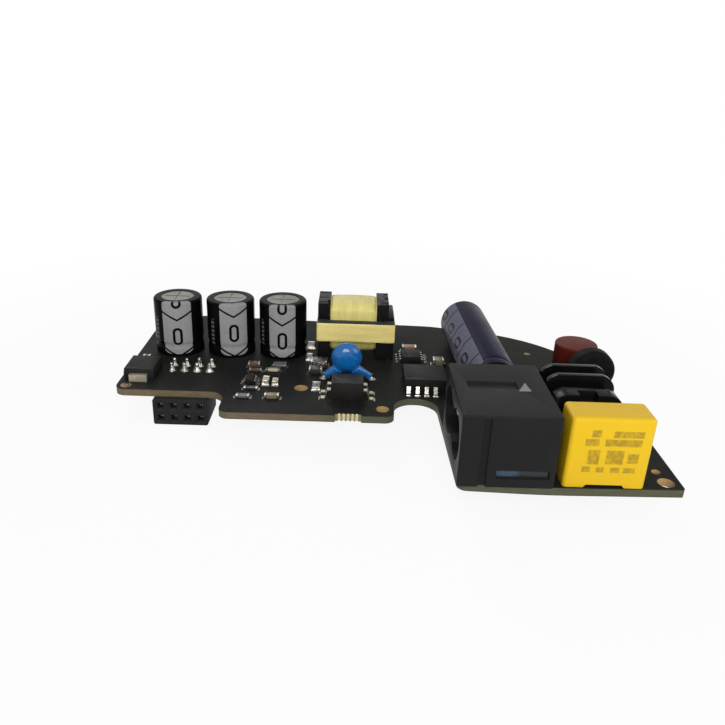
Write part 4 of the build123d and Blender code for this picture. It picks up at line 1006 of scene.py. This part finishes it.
def makeCoreTape():
    low, high = (corner * 1000 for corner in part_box("transformer_core_tape"))
    middle = (low + high) / 2
    half = (high - low) / 2
    work = bmesh.new()
    rings = []
    stack = [(0.09, 0.0), (0.03, 0.03), (0.0, 0.12), (0.0, 0.3), (0.0, 0.5), (0.0, 0.7), (0.0, 0.88), (0.03, 0.97),
             (0.09, 1.0)]
    for inset, share in stack:
        loop = roundedLoop(half.x - inset, half.y - inset, 0.4, 6, 26)
        z = low.z + (high.z - low.z) * share
        ring = []
        for number, (x, y) in enumerate(loop):
            lift = 0.035 * noise.noise(Vector((x * 0.6, y * 0.6, share * 0.7)))
            sink = 0.03 if inset == 0.0 else 0.0
            edge = 0.05 * noise.noise(Vector((x * 0.4, y * 0.4, 9.0 * (share > 0.5)))) * (abs(share - 0.5) > 0.3)
            factor = 1 + (lift - sink) / math.hypot(x, y)
            ring.append(work.verts.new((middle.x + x * factor, middle.y + y * factor, z + edge)))
        rings.append(ring)
    for z in (high.z - 0.01, low.z + 0.01):
        loop = roundedLoop(half.x - 0.14, half.y - 0.14, 0.4, 6, 26)
        rings.append([work.verts.new((middle.x + x, middle.y + y, z)) for x, y in loop])
    skin(work, rings, True)
    bmesh.ops.recalc_face_normals(work, faces=work.faces)
    piece = newObject("coreTape", meshFrom(work, "coreTape"), tapeFinish)
    return settle(piece, "pale_tape", "transformer_core_tape", sharp=40.0)


makeWinding()
makeCoreTape()
print("transformer done")


# Common-mode choke: wire turns between the flanges of a glossy former
chokeLook = {"colour": tint(8, 8, 9), "drift": tint(13, 13, 14), "roughness": (0.14, 0.26), "specular": 0.07,
             "broadScale": 160.0, "bump": 0.2, "dust": 0.02, "coat": 0.04, "coatRoughness": 0.08}
copperLook = {"colour": tint(34, 18, 13), "drift": tint(20, 13, 11), "roughness": (0.24, 0.4), "metallic": 0.5,
              "specular": 0.1, "bump": 0.3}
chokeFinish = makeFinish("chokeFormer", chokeLook)
copperFinish = makeFinish("enamelledWire", copperLook)
dressed("chokeFormer", "choke_former", chokeFinish, "black_former", edge=0.16)
dressed("chokeCoreFront", "choke_core_front", ferriteFinish, "ferrite", edge=0.15)
dressed("chokeCoreBack", "choke_core_back", ferriteFinish, "ferrite", edge=0.15)
chokeTurns = {"wireRadius": 0.17, "round": 1.2, "unevenness": 0.006}


def makeChokeTurns():
    work = bmesh.new()
    for number, (low, high) in enumerate(loosePieces("choke_windings")):
        middle = (low + high) / 2
        count = int((high.y - low.y) / (2 * chokeTurns["wireRadius"]))
        pitch = (high.y - low.y - 2 * chokeTurns["wireRadius"]) / max(count - 1, 1)
        piece = newObject("turns", bpy.data.meshes.new("turns"))
        addTree(piece, wireTurns, {
            "Turns": count, "Pitch": pitch, "Wire Radius": chokeTurns["wireRadius"],
            "Width": high.x - low.x - 2 * chokeTurns["wireRadius"] - 0.1,
            "Height": high.z - low.z - 2 * chokeTurns["wireRadius"] - 0.1,
            "Corner Radius": chokeTurns["round"], "Unevenness": chokeTurns["unevenness"], "Seed": number + 1,
            "Finish": copperFinish})
        mesh = bake(piece)
        mesh.transform(Matrix.Translation((middle.x, low.y + chokeTurns["wireRadius"], middle.z)))
        work.from_mesh(mesh)
        bpy.data.objects.remove(piece)
    whole = newObject("chokeTurns", meshFrom(work, "chokeTurns"), copperFinish)
    return settle(whole, "dark_coil")


makeChokeTurns()
repaint("choke_windings", copperFinish)
print("choke done")


# Blue disc capacitor: dipped coating that runs down its legs
discLook = {"colour": tint(18, 98, 166), "drift": tint(10, 82, 142), "roughness": (0.1, 0.18), "specular": 0.3,
            "broadScale": 260.0, "fineScale": 2200.0, "bump": 0.25, "coat": 0.25, "coatRoughness": 0.06,
            "taper": 0.4, "sag": 9.4, "shape": (-4.6, 2.3, 11.3, 3.0)}  # centre and radius of its coin
discFinish = makeFinish("blueCoating", discLook)


def makeDisc():
    piece = newObject("discCapacitor", meshFrom(mergedCopy("disc_capacitor_body", 0), "discCapacitor"), discFinish)
    remesh = piece.modifiers.new("dip", "REMESH")
    remesh.mode = "VOXEL"
    remesh.voxel_size = 0.1
    flow = piece.modifiers.new("flow", "SMOOTH")
    flow.factor = 0.6
    flow.iterations = 14
    bake(piece)
    centreX, centreY, centreZ, radius = discLook["shape"]
    for vert in piece.data.vertices:
        vert.co += vert.normal * (0.05 + 0.03 * noise.noise(vert.co * 0.9))
        reach = math.hypot(vert.co.x - centreX, vert.co.z - centreZ) / radius
        sag = discLook["sag"] - vert.co.z
        if sag > 0:  # the legs hang a little lower
            vert.co.z -= 0.16 * sag
        if reach < 1.0:  # the coat is thickest over the middle
            vert.co.y = centreY + (vert.co.y - centreY) * (1 - discLook["taper"] * reach * reach)
    return settle(piece, "blue_coating", "disc_capacitor_body", sharp=80.0)


makeDisc()
print("disc capacitor done")


# Moulded chips, fuse, thermistor and diode
chipLook = {"colour": tint(27, 27, 27), "drift": tint(35, 35, 34), "roughness": (0.42, 0.6), "specular": 0.05,
            "fineScale": 5200.0, "bump": 0.6, "dust": 0.04, "wear": 0.25, "wornColour": tint(66, 66, 64)}
# the opto's strong pale edge colour is mostly a painted highlight along its edges, with a little rubbed wear
optoLook = dict(chipLook, colour=tint(30, 29, 28), drift=tint(42, 40, 38), roughness=(0.3, 0.46), wear=0.9,
                wornColour=tint(104, 102, 96))
capLook = {"colour": tint(96, 34, 26), "drift": tint(84, 30, 23), "roughness": (0.3, 0.45), "specular": 0.05,
           "broadScale": 120.0, "bump": 0.3, "dust": 0.06, "wear": 0.2, "wornColour": tint(130, 76, 64)}
baseLook = dict(chipLook, colour=tint(20, 21, 21), drift=tint(28, 29, 28), roughness=(0.3, 0.44))
thermistorLook = {"colour": tint(13, 14, 14), "drift": tint(24, 25, 24), "roughness": (0.36, 0.55),
                  "specular": 0.02, "fineScale": 1500.0, "broadScale": 300.0, "bump": 0.8, "bumpDepth": 0.00008,
                  "dust": 0.04}
chipFinish = makeFinish("chipEpoxy", chipLook)
optoFinish = makeFinish("optoEpoxy", optoLook)
for name, node, finish, edge in (
        ("optocouplerBody", "optocoupler_body", optoFinish, 0.07), ("controllerBody", "controller_body", chipFinish, 0.07),
        ("driverChipBody", "driver_chip_body", chipFinish, 0.04), ("senseChipBody", "sense_chip_body", chipFinish, 0.04),
        ("diodeBody", "diode_body", chipFinish, 0.07)):
    dressed(name, node, finish, "chip_epoxy", edge=edge)
dressed("fuseCap", "fuse_cap", makeFinish("fuseRed", capLook), "fuse_cap", edge=0.05)
dressed("fuseBase", "fuse_base", makeFinish("fuseDark", baseLook), "fuse_base", edge=0.05)
repaint("thermistor_disc", makeFinish("thermistorCoating", thermistorLook))
print("chips, fuse and thermistor done")


# Chip parts: ceramic bodies by colour, plated ends and their solder wedges
chipColours = {  # look of each chip body, by the place of its middle in millimetres
    "orangeCeramic": {"colour": tint(128, 96, 66), "drift": tint(112, 84, 58), "roughness": (0.35, 0.5), "bump": 0.4},
    "tanCeramic": {"colour": tint(120, 110, 84), "drift": tint(98, 90, 70), "roughness": (0.35, 0.5), "bump": 0.4},
    "brownCeramic": {"colour": tint(84, 58, 42), "drift": tint(68, 48, 36), "roughness": (0.35, 0.5), "bump": 0.4},
    "darkGlass": {"colour": tint(34, 34, 35), "drift": tint(46, 46, 46), "roughness": (0.3, 0.45), "bump": 0.4},
    "greyGlass": {"colour": tint(96, 100, 102), "drift": tint(84, 88, 90), "roughness": (0.4, 0.55), "bump": 0.4},
    "creamCeramic": {"colour": tint(186, 178, 146), "drift": tint(164, 156, 126), "roughness": (0.4, 0.55),
                     "bump": 0.4},
    "leadLump": {"colour": tint(150, 148, 142), "drift": tint(66, 65, 62), "roughness": (0.2, 0.4),
                 "metallic": 0.9, "broadScale": 1500.0, "bump": 1.0, "bumpDepth": 0.0002},
}
capacitorColours = [  # middle x and y of a chip, and its look
    (9.1, 17.9, "orangeCeramic"), (14.9, 10.8, "tanCeramic"), (-18.5, -7.6, "tanCeramic"),
    (-23.65, 6.5, "brownCeramic"), (-20.35, -1.0, "creamCeramic"), (-18.5, -1.3, "creamCeramic"),
    (-10.35, 8.2, "leadLump"), (-10.9, 4.6, "darkGlass"), (-46.4, 9.2, "brownCeramic")]
resistorColours = [
    (-24.0, -7.6, "greyGlass"), (-22.95, -4.0, "darkGlass"), (-19.6, 4.8, "creamCeramic"),
    (-23.1, 4.4, "brownCeramic"), (-18.5, 7.5, "greyGlass"), (-10.4, -2.4, "leadLump"),
    (-12.6, 11.9, "leadLump"), (-12.6, 18.6, "darkGlass")]
chipFinishes = {name: makeFinish(name, look) for name, look in chipColours.items()}


def makeChipBodies(name, node, colours, slot):
    order = list(chipFinishes)

    def pick(face):
        middle = face.calc_center_median()
        nearest = min(colours, key=lambda spot: math.hypot(middle.x - spot[0], middle.y - spot[1]))
        return order.index(nearest[2])
    return dressed(name, node, list(chipFinishes.values()), slot, edge=0.05, pick=pick)


makeChipBodies("chipCapacitorBodies", "chip_capacitor_bodies", capacitorColours, "chip_ceramic")
makeChipBodies("chipResistorBodies", "chip_resistor_bodies", resistorColours, "resistor_glass")
dressed("chipCapacitorEnds", "chip_capacitor_ends", tinFinish, "tinned_lead", edge=0.09)
dressed("chipResistorEnds", "chip_resistor_ends", tinFinish, "tinned_lead", edge=0.05)
wedgeLook = {"reach": 0.42, "rise": 0.62, "footReach": 0.3, "footRise": 0.22, "spread": 1.12}


def wedgeShape():  # a hollowed wedge: 1 out along X, 1 wide in Y, 1 high in Z
    curve = [(1.0, 0.0), (0.72, 0.06), (0.45, 0.2), (0.25, 0.42), (0.1, 0.7), (0.0, 1.0), (-0.3, 1.0), (-0.3, 0.0)]
    work = bmesh.new()
    rings = []
    for y, shrink in ((-0.5, 0.55), (-0.42, 0.86), (-0.25, 1.0), (0.25, 1.0), (0.42, 0.86), (0.5, 0.55)):
        rings.append([work.verts.new((x * shrink if x > 0 else x, y, z * (0.5 + 0.5 * shrink))) for x, z in curve])
    skin(work, rings, False)
    work.faces.new(list(reversed(rings[0])))
    work.faces.new(rings[-1])
    bmesh.ops.recalc_face_normals(work, faces=work.faces)
    return meshFrom(work, "wedgeShape")


def makeWedges():
    places = []
    for stem in ("chip_capacitor", "chip_resistor"):
        bodies = [(low + high) / 2 for low, high in loosePieces(stem + "_bodies")]
        for low, high in loosePieces(stem + "_ends"):
            middle = (low + high) / 2
            body = min(bodies, key=lambda spot: (spot - middle).length)
            way = middle - body
            if abs(way.x) > abs(way.y):
                out = math.copysign(1, way.x)
                edge = (middle.x + out * (high.x - low.x) / 2, middle.y)
                width, turn = high.y - low.y, 0.0 if out > 0 else math.pi
            else:
                out = math.copysign(1, way.y)
                edge = (middle.x, middle.y + out * (high.y - low.y) / 2)
                width, turn = high.x - low.x, math.copysign(math.pi / 2, out)
            places.append(((edge[0], edge[1], boardTop), (0, 0, turn),
                           (wedgeLook["reach"], width * wedgeLook["spread"], (high.z - low.z) * wedgeLook["rise"])))
    for stem in ("optocoupler", "controller", "driver_chip", "sense_chip"):
        bodyLow, bodyHigh = (corner * 1000 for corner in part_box(stem + "_body"))
        body = (bodyLow + bodyHigh) / 2
        for low, high in loosePieces(stem + "_leads"):
            middle = (low + high) / 2
            alongX = high.x - low.x > high.y - low.y
            if alongX:
                out = math.copysign(1, middle.x - body.x)
                edge = (high.x if out > 0 else low.x, middle.y)
                width, turn = high.y - low.y, 0.0 if out > 0 else math.pi
            else:
                out = math.copysign(1, middle.y - body.y)
                edge = (middle.x, high.y if out > 0 else low.y)
                width, turn = high.x - low.x, math.copysign(math.pi / 2, out)
            places.append(((edge[0], edge[1], boardTop), (0, 0, turn),
                           (wedgeLook["footReach"], width * 1.35, wedgeLook["footRise"])))
    return placeShapes("solderWedges", wedgeShape(), places, solderFinish, "solder", variation=0.08, seed=11)


makeWedges()
print("chip parts done")


# Floor, lamps, camera
floorLook = {"size": 6.0, "colour": tint(236, 236, 236), "glow": 0.9, "nearEdge": 0.06, "farEdge": 0.16}


def makeFloor():
    mesh = bpy.data.meshes.new("floor")
    half = floorLook["size"] / 2
    mesh.from_pydata([(-half, -half, 0), (half, -half, 0), (half, half, 0), (-half, half, 0)], [], [(0, 1, 2, 3)])
    floor = newObject("floor", mesh)
    material = bpy.data.materials.new("paleFloor")
    material.use_nodes = True
    tree = material.node_tree
    shader = tree.nodes["Principled BSDF"]
    shader.inputs["Base Color"].default_value = floorLook["colour"]
    shader.inputs["Roughness"].default_value = 0.9
    shader.inputs["Specular IOR Level"].default_value = 0.0
    glow = tree.nodes.new("ShaderNodeEmission")
    glow.inputs["Strength"].default_value = 1.0
    path = tree.nodes.new("ShaderNodeLightPath")
    seen = calc(tree, "MAXIMUM", path.outputs["Is Camera Ray"], path.outputs["Is Glossy Ray"])
    blend = tree.nodes.new("ShaderNodeMixShader")
    spot = tree.nodes.new("ShaderNodeTexCoord").outputs["Object"]
    reach = tree.nodes.new("ShaderNodeVectorMath")
    reach.operation = "LENGTH"
    feed(tree, reach.inputs[0], spot)
    away = remap(tree, reach.outputs["Value"], floorLook["nearEdge"], floorLook["farEdge"], floorLook["glow"], 1.0,
                 smooth=True)
    feed(tree, blend.inputs[0], calc(tree, "MULTIPLY", seen, away))
    feed(tree, blend.inputs[1], shader.outputs[0])
    feed(tree, blend.inputs[2], glow.outputs[0])
    feed(tree, tree.nodes["Material Output"].inputs["Surface"], blend.outputs[0])
    mesh.materials.append(material)


makeFloor()

worldLook = {"colour": (1.0, 1.0, 1.0, 1.0), "strength": 0.27}
world = bpy.data.worlds.new("studio")
scene.world = world
world.use_nodes = True
sky = world.node_tree
background = sky.nodes["Background"]
background.inputs["Color"].default_value = worldLook["colour"]
rays = sky.nodes.new("ShaderNodeLightPath")
plain = calc(sky, "MAXIMUM", calc(sky, "MAXIMUM", rays.outputs["Is Camera Ray"], rays.outputs["Is Glossy Ray"]),
             rays.outputs["Is Transmission Ray"])
feed(sky, background.inputs["Strength"], remap(sky, plain, 0.0, 1.0, worldLook["strength"], 1.0))

lamps = {  # place, point it faces, size and power of each soft lamp
    "frontLamp": {"place": (-0.05, -0.55, 0.32), "aim": (0.0, 0.0, 0.01), "size": 0.35, "power": 3.1},
    "rightLamp": {"place": (0.5, -0.25, 0.3), "aim": (0.0, 0.0, 0.01), "size": 0.3, "power": 0.9},
    "backLamp": {"place": (-0.15, 0.5, 0.45), "aim": (0.0, 0.0, 0.01), "size": 0.3, "power": 1.1},
}
for name, look in lamps.items():
    lamp = bpy.data.lights.new(name, "AREA")
    lamp.shape = "SQUARE"
    lamp.size = look["size"]
    lamp.energy = look["power"]
    holder = bpy.data.objects.new(name, lamp)
    scene.collection.objects.link(holder)
    holder.location = look["place"]
    aim = Vector(look["aim"]) - Vector(look["place"])
    holder.rotation_euler = aim.to_track_quat("-Z", "Y").to_euler()

lens = bpy.data.cameras.new("camera")
lens.sensor_width = 36.0
lens.lens = cameraLook["lens"]
lens.clip_start = 0.005
lens.clip_end = 20.0
camera = bpy.data.objects.new("camera", lens)
scene.collection.objects.link(camera)
turn, pitch, roll = (math.radians(cameraLook[part]) for part in ("turn", "pitch", "roll"))
ahead = Vector((math.sin(turn), math.cos(turn), 0))
right = Vector((math.cos(turn), -math.sin(turn), 0))
up = Vector((0, 0, 1))
forward = math.cos(pitch) * ahead - math.sin(pitch) * up
down = -math.sin(pitch) * ahead - math.cos(pitch) * up
sideways = math.cos(roll) * right + math.sin(roll) * down
downwards = -math.sin(roll) * right + math.cos(roll) * down
view = Matrix((sideways, -downwards, -forward)).transposed().to_4x4()
camera.matrix_world = Matrix.Translation(Vector(cameraLook["place"]) / 1000) @ view
scene.camera = camera
scene.view_settings.view_transform = "Standard"

print("camera, lamps and floor done")
